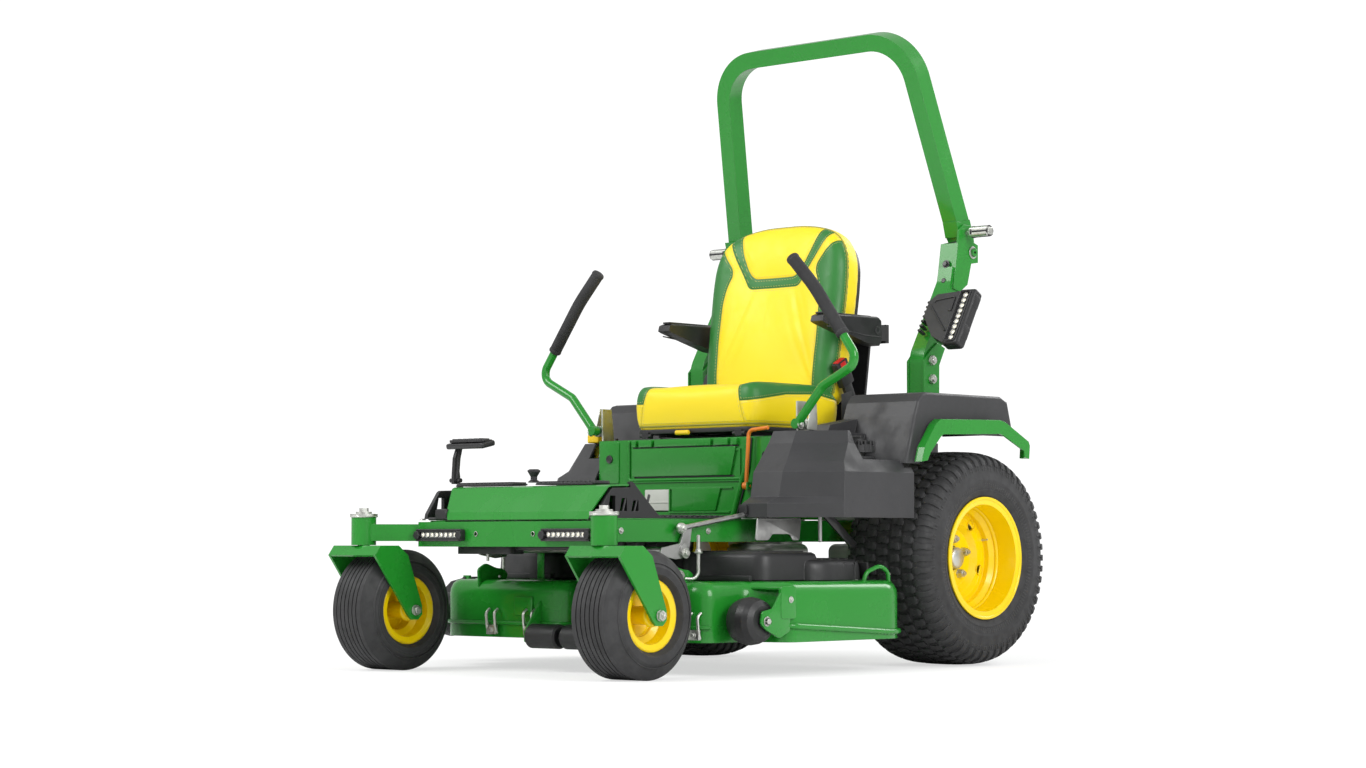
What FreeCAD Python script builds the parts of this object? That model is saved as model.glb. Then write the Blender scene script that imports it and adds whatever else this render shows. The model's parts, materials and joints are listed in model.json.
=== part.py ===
import FreeCAD, Part
import math
import os
import re
import Sketcher

# Zero turn mower, millimetres. +Z up, ground at z = 0, the mower faces -Y and its left side is +X.
# The origin lies on the ground, below the middle of the drive-wheel axis.

Vector = FreeCAD.Vector
Rotation = FreeCAD.Rotation
Placement = FreeCAD.Placement

SIZES = {
    # drive wheels, 24 x 12 x 12 class
    "drive_radius": 305, "drive_width": 296, "drive_x": 482, "drive_rim_flange": 170,
    "drive_rim_seat": 156, "drive_rim_width": 266, "drive_disc_x": 14,
    "hub_shaft_radius": 17.5, "hub_flange_radius": 72, "stud_circle": 55, "stud_radius": 6,
    # caster wheels, 13 x 6.5 x 6 class
    "caster_radius": 165, "caster_width": 165, "caster_x": 454, "caster_y": -1392,
    "caster_trail": 103, "caster_rim_flange": 89, "caster_rim_seat": 78, "caster_rim_width": 128,
    "caster_bolt_radius": 8, "fork_gap": 88, "fork_sheet": 8, "fork_top": 341,
    "stem_radius": 17, "post_radius": 34, "post_low": 342, "post_high": 419, "running_gap": 0.05,
    # chassis
    "rail_outer": 330, "rail_width": 60, "rail_low": 351, "rail_high": 409, "tube_wall": 4,
    "rear_rail_outer": 275, "rail_front": -1300, "rail_step": -645, "rail_rear": 470,
    "beam_half": 335, "beam_low": 338, "beam_high": 405, "beam_depth": 60,
    "accessory_hole_x": 108, "accessory_hole_z": 372, "accessory_hole_radius": 5.5,
    "hitch_hole_radius": 9.5, "hitch_hole_y": 590, "hitch_plate_top": 351,
    # operator platform and front panel
    "platform_half": 318, "wedge_top": 499, "sheet": 3, "panel_y": -580, "panel_top": 644,
    "panel_half": 343, "panel_foot_half": 196,
    # consoles and fenders
    "console_inner": 346, "console_outer": 600, "console_low": 417, "console_top": 655,
    "recess_floor": 576, "cap_x": 505, "cap_y": -440, "switch_x": -450, "switch_y": -478,
    "switch_z": 640,
    "fender_top": 768, "fender_rear": 165,
    # overhead roll bar
    "rops_x": 425, "rops_pivot_y": 166, "rops_pivot_z": 1198, "rops_foot_y": -35,
    "rops_foot_z": 700, "rops_section": 50, "rops_depth": 60, "rops_wall": 3.5,
    "rops_height": 609, "rops_top_half": 350, "rops_bend": 140, "hoop_lean": 15.3,
    # seat
    "seat_half": 252, "seat_front": -572, "seat_rear": -165, "seat_low": 668, "seat_high": 798,
    "back_half": 260, "back_thick": 104, "back_lean": 8.5, "back_top": 1290, "back_low": 735,
    "arm_x": 294, "arm_width": 44, "arm_y": -105, "arm_z": 962,
    # control levers
    "lever_x": 389, "lever_y": -555, "lever_z": 672, "lever_radius": 12.5, "grip_radius": 18.5,
    "lever_pivot_z": 600, "lever_pivot_y": -508,
    # mower deck
    "deck_half": 620, "deck_front": -1060, "deck_rear": -335, "deck_top": 246, "deck_low": 96,
    "deck_sheet": 5, "blade_x": 405, "blade_y": -690, "centre_blade_y": -760, "blade_radius": 203,
    "spindle_radius": 12.5, "pulley_radius": 64, "pulley_low": 298, "pulley_high": 314,
    "cover_top": 323, "scalp_x": 564, "scalp_y": -957, "scalp_z": 145, "scalp_radius": 63,
    "roller_y": -1105, "roller_z": 96, "roller_radius": 33,
}

doc = FreeCAD.newDocument("ZeroTurnMower")
sheet = doc.addObject("Spreadsheet::Sheet", "Sizes")
for row, (alias, value) in enumerate(SIZES.items(), start=1):
    sheet.set(f"A{row}", alias)
    sheet.set(f"B{row}", str(value))
    sheet.setAlias(f"B{row}", alias)
doc.recompute()

NODES = []
AXIS_TURN = {
    "x": Rotation(Vector(0, 1, 0), 90),
    "y": Rotation(Vector(1, 0, 0), -90),
    "z": Rotation(),
}
PLANE_TURN = {
    "xz": Rotation(),
    "yz": Rotation(Vector(0, 0, 1), 90),
    "xy": Rotation(Vector(1, 0, 0), -90),
}
UPRIGHT = Rotation()


def formula(text):
    """A size formula in the sheet's own words, as an expression."""
    return re.sub(r"[a-z][a-z0-9_]*", lambda word: "Sizes." + word.group(0), str(text))


def number(text):
    """The value of a size formula, in millimetres."""
    if isinstance(text, (int, float)):
        return float(text)
    return float(sheet.evalExpression(formula(text)))


def bind(obj, prop, text):
    obj.setExpression(prop, formula(text))


def place(obj, x, y, z, turn=UPRIGHT):
    """Puts an object at a point given by size formulas."""
    obj.Placement = Placement(Vector(number(x), number(y), number(z)), turn)
    for letter, text in zip("xyz", (x, y, z)):
        bind(obj, "Placement.Base." + letter, text)
    return obj


def node(obj, name):
    """Names a finished sub-part; its label names its file."""
    obj.Label = name
    NODES.append(obj)
    return obj


# ---------------------------------------------------------------- primitives and booleans


def box(x, y, z, length, width, height, turn=UPRIGHT):
    obj = doc.addObject("Part::Box", "Block")
    bind(obj, "Length", length)
    bind(obj, "Width", width)
    bind(obj, "Height", height)
    return place(obj, x, y, z, turn)


def span(x0, x1, y0, y1, z0, z1):
    """A block between two corners."""
    return box(x0, y0, z0, f"({x1}) - ({x0})", f"({y1}) - ({y0})", f"({z1}) - ({z0})")


def rod(x, y, z, axis, radius, length):
    obj = doc.addObject("Part::Cylinder", "Rod")
    bind(obj, "Radius", radius)
    bind(obj, "Height", length)
    return place(obj, x, y, z, AXIS_TURN[axis])


def hexagon(x, y, z, axis, radius, length):
    obj = doc.addObject("Part::Prism", "Hexagon")
    obj.Polygon = 6
    bind(obj, "Circumradius", radius)
    bind(obj, "Height", length)
    return place(obj, x, y, z, AXIS_TURN[axis])


def fuse(*parts):
    obj = doc.addObject("Part::MultiFuse", "Joined")
    obj.Shapes = list(parts)
    return obj


def common(first, second):
    obj = doc.addObject("Part::Common", "Shared")
    obj.Base = first
    obj.Tool = second
    return obj


def cut(base, *tools):
    obj = doc.addObject("Part::Cut", "Cut")
    obj.Base = base
    obj.Tool = tools[0] if len(tools) == 1 else fuse(*tools)
    return obj


def group(*parts):
    """Separate solids kept in one sub-part."""
    obj = doc.addObject("Part::Compound", "Group")
    obj.Links = list(parts)
    return obj


def mirror(source):
    """The same shape on the machine's other side."""
    obj = doc.addObject("Part::Mirroring", "Mirrored")
    obj.Source = source
    obj.Normal = Vector(1, 0, 0)
    return obj


def both(source):
    return group(source, mirror(source))


def rounded(base, radius, chosen):
    """Fillets the edges of a solid that the test picks."""
    doc.recompute()
    edges = [(i, radius, radius) for i, edge in enumerate(base.Shape.Edges, start=1) if chosen(edge)]
    obj = doc.addObject("Part::Fillet", "Rounded")
    obj.Base = base
    obj.Edges = edges
    return obj


def runs_along(letter):
    """Tests whether an edge is straight and parallel to an axis."""
    direction = {"x": Vector(1, 0, 0), "y": Vector(0, 1, 0), "z": Vector(0, 0, 1)}[letter]

    def test(edge):
        if not isinstance(edge.Curve, Part.Line):
            return False
        return abs(edge.tangentAt(edge.FirstParameter).dot(direction)) > 0.999

    return test


# ---------------------------------------------------------------- sketched bodies


def origin_feature(body, role):
    return next(item for item in body.Origin.OriginFeatures if item.Role == role)


def new_sketch(body, plane, offset="0"):
    sketch = body.newObject("Sketcher::SketchObject", "Outline")
    sketch.AttachmentSupport = [(origin_feature(body, plane + "_Plane"), "")]
    sketch.MapMode = "FlatFace"
    bind(sketch, "AttachmentOffset.Base.z", offset)
    return sketch


def draw(sketch, points, closed=True):
    """Draws straight lines through points given as size formulas, and binds every point."""
    spots = [(number(u), number(v)) for u, v in points]
    count = len(spots) if closed else len(spots) - 1
    first = sketch.GeometryCount
    for i in range(count):
        begin = Vector(*spots[i], 0)
        end = Vector(*spots[(i + 1) % len(spots)], 0)
        sketch.addGeometry(Part.LineSegment(begin, end), False)
    links = count if closed else count - 1
    for i in range(links):
        sketch.addConstraint(
            Sketcher.Constraint("Coincident", first + i, 2, first + (i + 1) % count, 1)
        )
    for i, (spot, texts) in enumerate(zip(spots, points)):
        line, end = (first + i, 1) if i < count else (first + count - 1, 2)
        for kind, value, text in zip(("DistanceX", "DistanceY"), spot, texts):
            index = sketch.addConstraint(Sketcher.Constraint(kind, line, end, value))
            sketch.setExpression(f"Constraints[{index}]", formula(text))
    return spots


def padded(plane, outline, low, high, pockets=()):
    """A body padded from one outline between two levels along the plane's axis; pockets are
    further outlines cut right through it."""
    body = doc.addObject("PartDesign::Body", "Body")
    against = plane == "XZ"
    offset = f"-({high})" if against else low
    sketch = new_sketch(body, plane, offset)
    draw(sketch, outline)
    for pocket in pockets:
        draw(sketch, pocket)
    feature = body.newObject("PartDesign::Pad", "Pad")
    feature.Profile = sketch
    bind(feature, "Length", f"({high}) - ({low})")
    return body


def turned(outline, axis="X"):
    """A body turned about its own X axis (outline: along, radius) or Z axis (radius, height)."""
    body = doc.addObject("PartDesign::Body", "Body")
    sketch = new_sketch(body, "XY" if axis == "X" else "XZ")
    draw(sketch, outline)
    feature = body.newObject("PartDesign::Revolution", "Turned")
    feature.Profile = sketch
    feature.ReferenceAxis = (origin_feature(body, axis + "_Axis"), [""])
    feature.Angle = 360
    return body


def lofted(levels):
    """A body that runs straight from each outline to the next; levels pair a height with an outline."""
    body = doc.addObject("PartDesign::Body", "Body")
    sketches = []
    for height, outline in levels:
        sketches.append(new_sketch(body, "XY", height))
        draw(sketches[-1], outline)
    feature = body.newObject("PartDesign::AdditiveLoft", "Loft")
    feature.Profile = sketches[0]
    feature.Sections = sketches[1:]
    feature.Ruled = True
    return body


def pipe(plane, start, points, bend, section, wall=None, tilt=UPRIGHT):
    """A bent tube. Points are (u, v) steps from the start in a plane: xz, yz or xy. The section
    is a radius, or a pair of half widths; wall gives the tube's thickness, or None for a bar."""
    body = doc.addObject("PartDesign::Body", "Body")
    first = points[0]
    turn = math.atan2(first[0], first[1])
    local = [(0.0, 0.0)]
    for u, v in points:
        along = u * math.sin(turn) + v * math.cos(turn)
        across = u * math.cos(turn) - v * math.sin(turn)
        local.append((across, along))
    path = new_sketch(body, "XZ")
    draw(path, [(f"{u:.4f}", f"{v:.4f}") for u, v in local], closed=False)
    doc.recompute()
    for i in range(1, len(local) - 1):
        corner = Vector(*local[i], 0)
        toward = (Vector(*local[i - 1], 0) - corner).normalize()
        away = (Vector(*local[i + 1], 0) - corner).normalize()
        known = path.GeometryCount
        path.fillet(i - 1, i, corner + toward, corner + away, bend, True, True)
        for index in range(known, path.GeometryCount):
            if isinstance(path.Geometry[index], Part.Point):
                path.setConstruction(index, True)
    profile = new_sketch(body, "XY")
    insets = (0,) if wall is None else (0, wall)
    for inset in insets:
        if isinstance(section, tuple):
            half_u, half_v = section[0] - inset, section[1] - inset
            corners = [(-half_u, -half_v), (half_u, -half_v), (half_u, half_v), (-half_u, half_v)]
            draw(profile, [(str(u), str(v)) for u, v in corners])
        else:
            circle = Part.Circle(Vector(), Vector(0, 0, 1), section - inset)
            profile.addGeometry(circle, False)
    doc.recompute()
    feature = body.newObject("PartDesign::AdditivePipe", "Pipe")
    feature.Profile = profile
    feature.Spine = (path, [])
    turn_in_plane = Rotation(Vector(0, 1, 0), math.degrees(turn))
    rotation = tilt.multiply(PLANE_TURN[plane]).multiply(turn_in_plane)
    return place(body, *start, rotation)


# ---------------------------------------------------------------- wheels


TREAD_SHARE = 0.66
GROOVE_SHARE = 0.022
GROOVE_DEPTH = 5


def tyre(radius, width, seat, flange, wall, grooves=0):
    """A hollow tyre section turned about the axle; grooves cut ribs into the tread."""
    half = f"{width}/2"
    outline = [(f"0 - {half} + 24", f"{seat} + 2"), (f"0 - {half} + 20", f"{flange} + 2")]
    outline += [(f"0 - {half}", f"{flange} + 16"), (f"0 - {half}", f"{radius} - 42")]
    outline += [(f"0 - {half} + 20", f"{radius} - 9"), (f"0 - {half}*{TREAD_SHARE}", radius)]
    for i in range(grooves):
        centre = TREAD_SHARE * (2 * (i + 1) / (grooves + 1) - 1)
        low, high = centre - GROOVE_SHARE, centre + GROOVE_SHARE
        outline += [(f"{half}*({low:.4f})", radius), (f"{half}*({low:.4f})", f"{radius} - {GROOVE_DEPTH}")]
        outline += [(f"{half}*({high:.4f})", f"{radius} - {GROOVE_DEPTH}"),
                    (f"{half}*({high:.4f})", radius)]
    outline += [(f"{half}*{TREAD_SHARE}", radius), (f"{half} - 20", f"{radius} - 9")]
    outline += [(half, f"{radius} - 42"), (half, f"{flange} + 16"), (f"{half} - 20", f"{flange} + 2")]
    outline += [(f"{half} - 24", f"{seat} + 2"), (f"{half} - 24 - {wall}", f"{seat} + 2")]
    outline += [(f"{half} - 24 - {wall}", f"{flange} + 6"), (f"{half} - {wall}", f"{flange} + 24")]
    outline += [(f"{half} - {wall}", f"{radius} - 48"),
                (f"{half} - 24 - {wall}", f"{radius} - 14 - {wall}/2")]
    outline += [(f"0 - {half} + 24 + {wall}", f"{radius} - 14 - {wall}/2")]
    outline += [(f"0 - {half} + {wall}", f"{radius} - 48"), (f"0 - {half} + {wall}", f"{flange} + 24")]
    outline += [(f"0 - {half} + 24 + {wall}", f"{flange} + 6"),
                (f"0 - {half} + 24 + {wall}", f"{seat} + 2")]
    return turned(outline)


def rim_barrel(flange, seat, width):
    """A one-piece rolled rim with two flanges and a drop centre."""
    half = f"{width}/2"
    outer = [(f"0 - {half}", flange), (f"0 - {half} + 5", seat), (f"0 - {half}*0.5", f"{seat} - 2")]
    outer += [(f"0 - {half}*0.38", f"{seat} - 18"), (f"{half}*0.38", f"{seat} - 18")]
    outer += [(f"{half}*0.5", f"{seat} - 2"), (f"{half} - 5", seat), (half, flange)]
    inner = [(f"{half} + 4", flange), (f"{half}", f"{seat} - 4"), (f"{half}*0.5", f"{seat} - 7")]
    inner += [(f"{half}*0.38", f"{seat} - 23"), (f"0 - {half}*0.38", f"{seat} - 23")]
    inner += [(f"0 - {half}*0.5", f"{seat} - 7"), (f"0 - {half}", f"{seat} - 4")]
    inner.append((f"0 - {half} - 4", flange))
    return turned(outer + inner)


def drive_tyre():
    body = tyre("drive_radius", "drive_width", "drive_rim_seat", "drive_rim_flange", 9)
    return place(body, "drive_x", 0, "drive_radius")


def drive_rim():
    """Deep-dish wheel: barrel, dished disc with hand holes, and five stud holes."""
    barrel = rim_barrel("drive_rim_flange", "drive_rim_seat", "drive_rim_width")
    dish = [("drive_disc_x", "36"), ("drive_disc_x", "88"), ("drive_disc_x + 16", "100")]
    dish += [("drive_disc_x + 16", "drive_rim_seat - 20"), ("drive_disc_x + 21", "drive_rim_seat - 20")]
    dish += [("drive_disc_x + 21", "98"), ("drive_disc_x + 5", "84"), ("drive_disc_x + 5", "36")]
    disc = turned(dish)
    holes = []
    for i in range(5):
        angle = math.radians(90 + 72 * i)
        slot = math.radians(126 + 72 * i)
        y, z = math.cos(angle), math.sin(angle)
        holes.append(rod(-60, f"stud_circle*{y:.5f}", f"stud_circle*{z:.5f}", "x", "stud_radius + 1", 140))
        y, z = math.cos(slot), math.sin(slot)
        holes.append(rod(-60, f"112*{y:.5f}", f"112*{z:.5f}", "x", 13, 140))
    return place(cut(fuse(barrel, disc), *holes), "drive_x", 0, "drive_radius")


def drive_hub():
    """Axle shaft, wheel flange, studs and their nuts, in one turning piece."""
    parts = [rod("190 - drive_x", 0, 0, "x", "hub_shaft_radius", "drive_x - 178")]
    parts.append(rod("drive_disc_x - 12.5", 0, 0, "x", "hub_flange_radius", 12))
    parts.append(rod("drive_disc_x - 2", 0, 0, "x", 30, 26))
    for i in range(5):
        angle = math.radians(90 + 72 * i)
        y = f"stud_circle*{math.cos(angle):.5f}"
        z = f"stud_circle*{math.sin(angle):.5f}"
        parts.append(rod("drive_disc_x - 4", y, z, "x", "stud_radius", 32))
        parts.append(hexagon("drive_disc_x + 6", y, z, "x", 11.5, 14))
    return place(fuse(*parts), "drive_x", 0, "drive_radius")


def caster_tyre():
    body = tyre("caster_radius", "caster_width", "caster_rim_seat", "caster_rim_flange", 6, grooves=6)
    return place(body, "caster_x", "caster_y + caster_trail", "caster_radius")


def caster_rim():
    barrel = rim_barrel("caster_rim_flange", "caster_rim_seat", "caster_rim_width")
    web = turned([("0 - 3", "20"), ("10", "50"), ("10", "caster_rim_seat - 20"),
                  ("15", "caster_rim_seat - 20"), ("15", "48"), ("3", "20")])
    hub = rod(-80, 0, 0, "x", 24, 160)
    bore = rod(-90, 0, 0, "x", "caster_bolt_radius + running_gap", 180)
    wheel = cut(fuse(barrel, web, hub), bore)
    return place(wheel, "caster_x", "caster_y + caster_trail", "caster_radius")


def caster_fork():
    """Bent plate fork with its welded stem. Built about the swivel axis."""
    reach = "caster_trail"
    side = [("0 - 44", "fork_top - 26"), ("0 - 24", "fork_top"), ("42", "fork_top"),
            ("76", "fork_top - 26"),
            (f"{reach} + 26", "caster_radius + 12"), (f"{reach} + 26", "caster_radius - 12"),
            (f"{reach} + 12", "caster_radius - 26"), (f"{reach} - 12", "caster_radius - 26"),
            (f"{reach} - 26", "caster_radius - 12")]
    left = padded("YZ", side, "fork_gap", "fork_gap + fork_sheet")
    right = padded("YZ", side, "0 - fork_gap - fork_sheet", "0 - fork_gap")
    crown = span("0 - fork_gap - fork_sheet", "fork_gap + fork_sheet", -24, 42,
                 "fork_top - fork_sheet + 1", "fork_top")
    nose = padded("YZ", [("0 - 44", "fork_top - 26"), ("0 - 24", "fork_top"), ("0 - 14", "fork_top"),
                         ("0 - 14", "fork_top - 7"), ("0 - 21", "fork_top - 7"),
                         ("0 - 39", "fork_top - 30")],
                  "0 - fork_gap - fork_sheet", "fork_gap + fork_sheet")
    stem = rod(0, 0, "fork_top - 4", "z", "stem_radius", "post_high - fork_top")
    bore = rod(-120, "caster_trail", "caster_radius", "x", "caster_bolt_radius + running_gap", 240)
    return place(cut(fuse(left, right, crown, nose, stem), bore), "caster_x", "caster_y", 0)


def caster_axle():
    shank = rod("0 - fork_gap - fork_sheet - 14", 0, 0, "x", "caster_bolt_radius",
                "2*(fork_gap + fork_sheet + 14)")
    heads = [hexagon("fork_gap + fork_sheet + 1", 0, 0, "x", 14, 10)]
    heads.append(hexagon("0 - fork_gap - fork_sheet - 11", 0, 0, "x", 14, 10))
    return place(fuse(shank, *heads), "caster_x", "caster_y + caster_trail", "caster_radius")


def make_wheels():
    builders = {
        "drive_tyre": drive_tyre, "drive_rim": drive_rim, "drive_hub": drive_hub,
        "caster_tyre": caster_tyre, "caster_rim": caster_rim, "caster_fork": caster_fork,
        "caster_axle": caster_axle,
    }
    for name, build in builders.items():
        piece = node(build(), "left_" + name)
        node(mirror(piece), "right_" + name)


# ---------------------------------------------------------------- chassis


def box_tube(x0, x1, y0, y1, z0, z1, along):
    """A square steel tube between two corners, open at the ends of its long axis."""
    outer = span(x0, x1, y0, y1, z0, z1)
    low = {"x": x0, "y": y0, "z": z0}
    high = {"x": x1, "y": y1, "z": z1}
    for letter in "xyz":
        step = "0 - 1" if letter == along else "tube_wall"
        low[letter] = f"({low[letter]}) + {step}"
        high[letter] = f"({high[letter]}) - ({step})"
    return cut(outer, span(low["x"], high["x"], low["y"], high["y"], low["z"], high["z"]))


def main_frame():
    rear_inner = "(rear_rail_outer - rail_width)"
    rails = [box_tube("rail_outer - rail_width", "rail_outer", "rail_front + 40", "rail_step - 2",
                      "rail_low", "rail_high", "y")]
    rails.append(box_tube(rear_inner, "rear_rail_outer", "rail_step - 40", "rail_rear",
                          "rail_low", "rail_high", "y"))
    rails.append(span("rail_outer - rail_width - 50", "rail_outer", "rail_step - 46", "rail_step",
                      "rail_high - 1", "rail_high + 4"))
    post = rod("caster_x", "caster_y", "post_low", "z", "post_radius", "post_high - post_low")
    arm_low, arm_high = "rail_low + 2", "beam_high - 6"
    arm = padded("XY", [("beam_half - 4", "rail_front + 2"), ("beam_half - 4", "rail_front + 58"),
                        ("beam_half + 40", "rail_front + 20"), ("caster_x + 26", "caster_y + 10"),
                        ("caster_x - 14", "caster_y - 26")], arm_low, arm_high)
    arm_hollow = padded("XY", [("beam_half + 1", "rail_front + 12"), ("beam_half + 1", "rail_front + 44"),
                               ("beam_half + 37", "rail_front + 12"), ("caster_x + 14", "caster_y + 10"),
                               ("caster_x - 12", "caster_y - 16")], f"{arm_low} + 5", f"{arm_high} - 5")
    arm_shell = cut(arm, arm_hollow)
    support = box_tube("rear_rail_outer - 28", "rear_rail_outer + 34", "rops_foot_y - 34",
                       "rops_foot_y + 34", "rail_high - 1", "rops_foot_z", "z")
    outrigger = box_tube("rear_rail_outer + 20", "rops_x + 30", "rops_foot_y - 34", "rops_foot_y + 34",
                         "rops_foot_z - 60", "rops_foot_z", "x")
    one_side = fuse(*rails, post, arm_shell, support, outrigger)
    beam = box_tube("0 - beam_half", "beam_half", "rail_front", "rail_front + beam_depth",
                    "beam_low", "beam_high", "x")
    middle = box_tube("0 - rear_rail_outer + 10", "rear_rail_outer - 10", "rail_step - 40", "rail_step",
                      "rail_low + 4", "rail_high - 4", "x")
    tail = box_tube(f"0 - {rear_inner} - 4", f"{rear_inner} + 4", "rail_rear - 50", "rail_rear",
                    "rail_low + 2", "rail_high - 2", "x")
    deck_plate = span("0 - rear_rail_outer", "rear_rail_outer", 60, "rail_rear - 20",
                      "rail_high - 1", "rail_high + 6")
    hitch = span(-70, 70, "rail_rear - 40", "hitch_hole_y + 30", "hitch_plate_top - 8",
                 "hitch_plate_top + 3")
    guard = pipe("xy", (-245, "rail_rear - 30", "rail_high + 17"),
                 [(0, 120), (490, 120), (490, 0)], 60, 17, 3)
    hoop = pipe("xz", (-200, "rail_rear + 96", "rail_high + 20"),
                [(0, 150), (400, 150), (400, 0)], 55, 14, 3)
    whole = fuse(one_side, mirror(one_side), beam, middle, tail, deck_plate, hitch, guard, hoop)
    bores = []
    for side in ("", "0 - "):
        bores.append(rod(f"{side}caster_x", "caster_y", "post_low - 5", "z", "stem_radius + running_gap",
                         "post_high - post_low + 10"))
        bores.append(rod(f"{side}accessory_hole_x", "rail_front - 5", "accessory_hole_z", "y",
                         "accessory_hole_radius", 12))
    bores.append(rod(0, "hitch_hole_y", "hitch_plate_top - 20", "z", "hitch_hole_radius", 40))
    bores.append(rod(0, 240, "rail_high - 10", "z", 40, 40))
    return cut(whole, *bores)


def frame_fasteners():
    """Dust caps on the caster posts and the hexagon bolts of the roll-bar feet."""
    cap = rod("caster_x", "caster_y", "post_high + 0.2", "z", "post_radius + 4", 8)
    crown = rod("caster_x", "caster_y", "post_high + 8", "z", 22, 6)
    head = hexagon("caster_x", "caster_y", "post_high + 14", "z", 13, 10)
    parts = [fuse(cap, crown, head)]
    for height in (818, 872):
        parts.append(fuse(hexagon("rops_x + 32", "rops_foot_y", height, "x", 14, 9),
                          rod("rops_x + 32", "rops_foot_y", height, "x", 8, 14)))
    left = group(*parts)
    return group(left, mirror(left))


def make_chassis():
    node(main_frame(), "main_frame")
    node(frame_fasteners(), "frame_fasteners")


# ---------------------------------------------------------------- engine and drive


def transaxles():
    """Hydrostatic gearcase under each rear rail, bored for its axle shaft."""
    case = rounded(span(110, 286, -95, 105, 235, 345), 22, lambda edge: True)
    snout = rod(280, 0, "drive_radius", "x", 44, 40)
    lug = span(190, 300, -60, 70, 340, "rail_low - 0.5")
    top = rod(160, 70, 340, "z", 34, 30)
    bore = rod(180, 0, "drive_radius", "x", "hub_shaft_radius + running_gap", 200)
    return both(cut(fuse(case, snout, lug, top), bore))


def cylinder_head(angle):
    """One finned cylinder, pointing to the rear at an angle from the centre plane."""
    turn = Rotation(Vector(0, 0, 1), angle)
    parts = []
    core = doc.addObject("Part::Box", "Barrel")
    core.Length, core.Width, core.Height = 96, 150, 96
    base = turn.multVec(Vector(-48, 60, 0)) + Vector(0, 230, 448)
    parts.append(place(core, base.x, base.y, base.z, turn))
    for i in range(7):
        spot = turn.multVec(Vector(-62, 92 + 14 * i, -14)) + Vector(0, 230, 448)
        parts.append(box(spot.x, spot.y, spot.z, 124, 5, 124, turn))
    cover = turn.multVec(Vector(-44, 206, 6)) + Vector(0, 230, 448)
    parts.append(rounded(box(cover.x, cover.y, cover.z, 88, 28, 84, turn), 8, lambda edge: True))
    return fuse(*parts)


def engine_block():
    """V-twin crankcase with two finned cylinders; the crankshaft bore opens below."""
    case = rod(0, 230, "rail_high + 6.5", "z", 118, 150)
    flange = rod(0, 230, "rail_high + 6.5", "z", 132, 12)
    filter_can = rod(-150, 180, 470, "x", 36, 60)
    bore = rod(0, 240, "rail_high", "z", "hub_shaft_radius + running_gap", 130)
    return cut(fuse(case, flange, cylinder_head(42), cylinder_head(-42), filter_can), bore)


def engine_shroud():
    """Blower housing with a round screened intake and the air cleaner beside it."""
    skirt = rounded(span(-170, 170, 90, 400, 582, 650), 40, runs_along("z"))
    drum = rod(0, 235, 645, "z", 138, 62)
    dome = rounded(rod(0, 235, 700, "z", 120, 22), 14, lambda edge: edge.BoundBox.ZMax > 721)
    cleaner = rounded(span(-60, 60, 330, 440, 640, 720), 24, lambda edge: True)
    hollow = rod(0, 235, 575, "z", 112, 110)
    return cut(fuse(skirt, drum, dome, cleaner), hollow)


def muffler():
    can = rounded(rod(-150, 505, 520, "x", 52, 300), 14, lambda edge: True)
    outlet = rod(90, 505, 470, "y", 16, 80)
    stays = [span(x, x + 8, 480, 520, "rail_high + 4.5", 475) for x in (-110, 90)]
    return fuse(can, outlet, *stays)


def clutch_pulley():
    """Crankshaft stub, blade-clutch drum and belt pulley, turning together."""
    shaft = rod(0, 240, 345, "z", "hub_shaft_radius", 180)
    drum = rod(0, 240, 352, "z", 62, 34)
    pulley = turned([("0", "322"), ("70", "322"), ("58", "330"), ("70", "338"), ("70", "346"),
                     ("0", "346")], "Z")
    return fuse(shaft, drum, place(pulley, 0, 240, 0))


def fuel_tank():
    return rounded(span(-176, 176, -560, -250, 425, 628), 26, lambda edge: True)


def make_engine():
    node(transaxles(), "transaxles")
    node(engine_block(), "engine_block")
    node(engine_shroud(), "engine_shroud")
    node(muffler(), "muffler")
    node(clutch_pulley(), "clutch_pulley")
    node(fuel_tank(), "fuel_tank")


# ---------------------------------------------------------------- platform, panel and consoles


def foot_platform():
    """Sheet floor with the sloped green cover over the front of the frame."""
    floor = span("0 - rail_outer", "rail_outer", "rail_front + 60", "rail_step - 47", "rail_high + 0.5",
                 "rail_high + 0.5 + sheet")
    cover = padded("YZ", [("rail_front + 2", "rail_high + 0.5"), ("rail_front + 8", "rail_high + 22"),
                          ("rail_front + 54", "wedge_top - 4"), ("rail_front + 64", "wedge_top"),
                          ("rail_front + 134", "wedge_top + 2"), ("rail_front + 134", "wedge_top - 2"),
                          ("rail_front + 67", "wedge_top - 4"), ("rail_front + 58", "wedge_top - 8"),
                          ("rail_front + 13", "rail_high + 21"), ("rail_front + 8", "rail_high + 0.5")],
                   "0 - platform_half", "platform_half + 10")
    slanted_ends = padded("XZ", [(-222, "rail_high"), (306, "rail_high"),
                                 ("platform_half + 10", "wedge_top + 4"),
                                 (-263, "wedge_top + 4")], "rail_front", "rail_front + 140")
    back = padded("YZ", [("rail_front + 131", "wedge_top + 2"), ("rail_front + 250", "rail_high + 3"),
                         ("rail_front + 245", "rail_high + 3"), ("rail_front + 131", "wedge_top - 2.5")],
                  "0 - platform_half", "platform_half")
    return fuse(floor, common(cover, slanted_ends), back)


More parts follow.
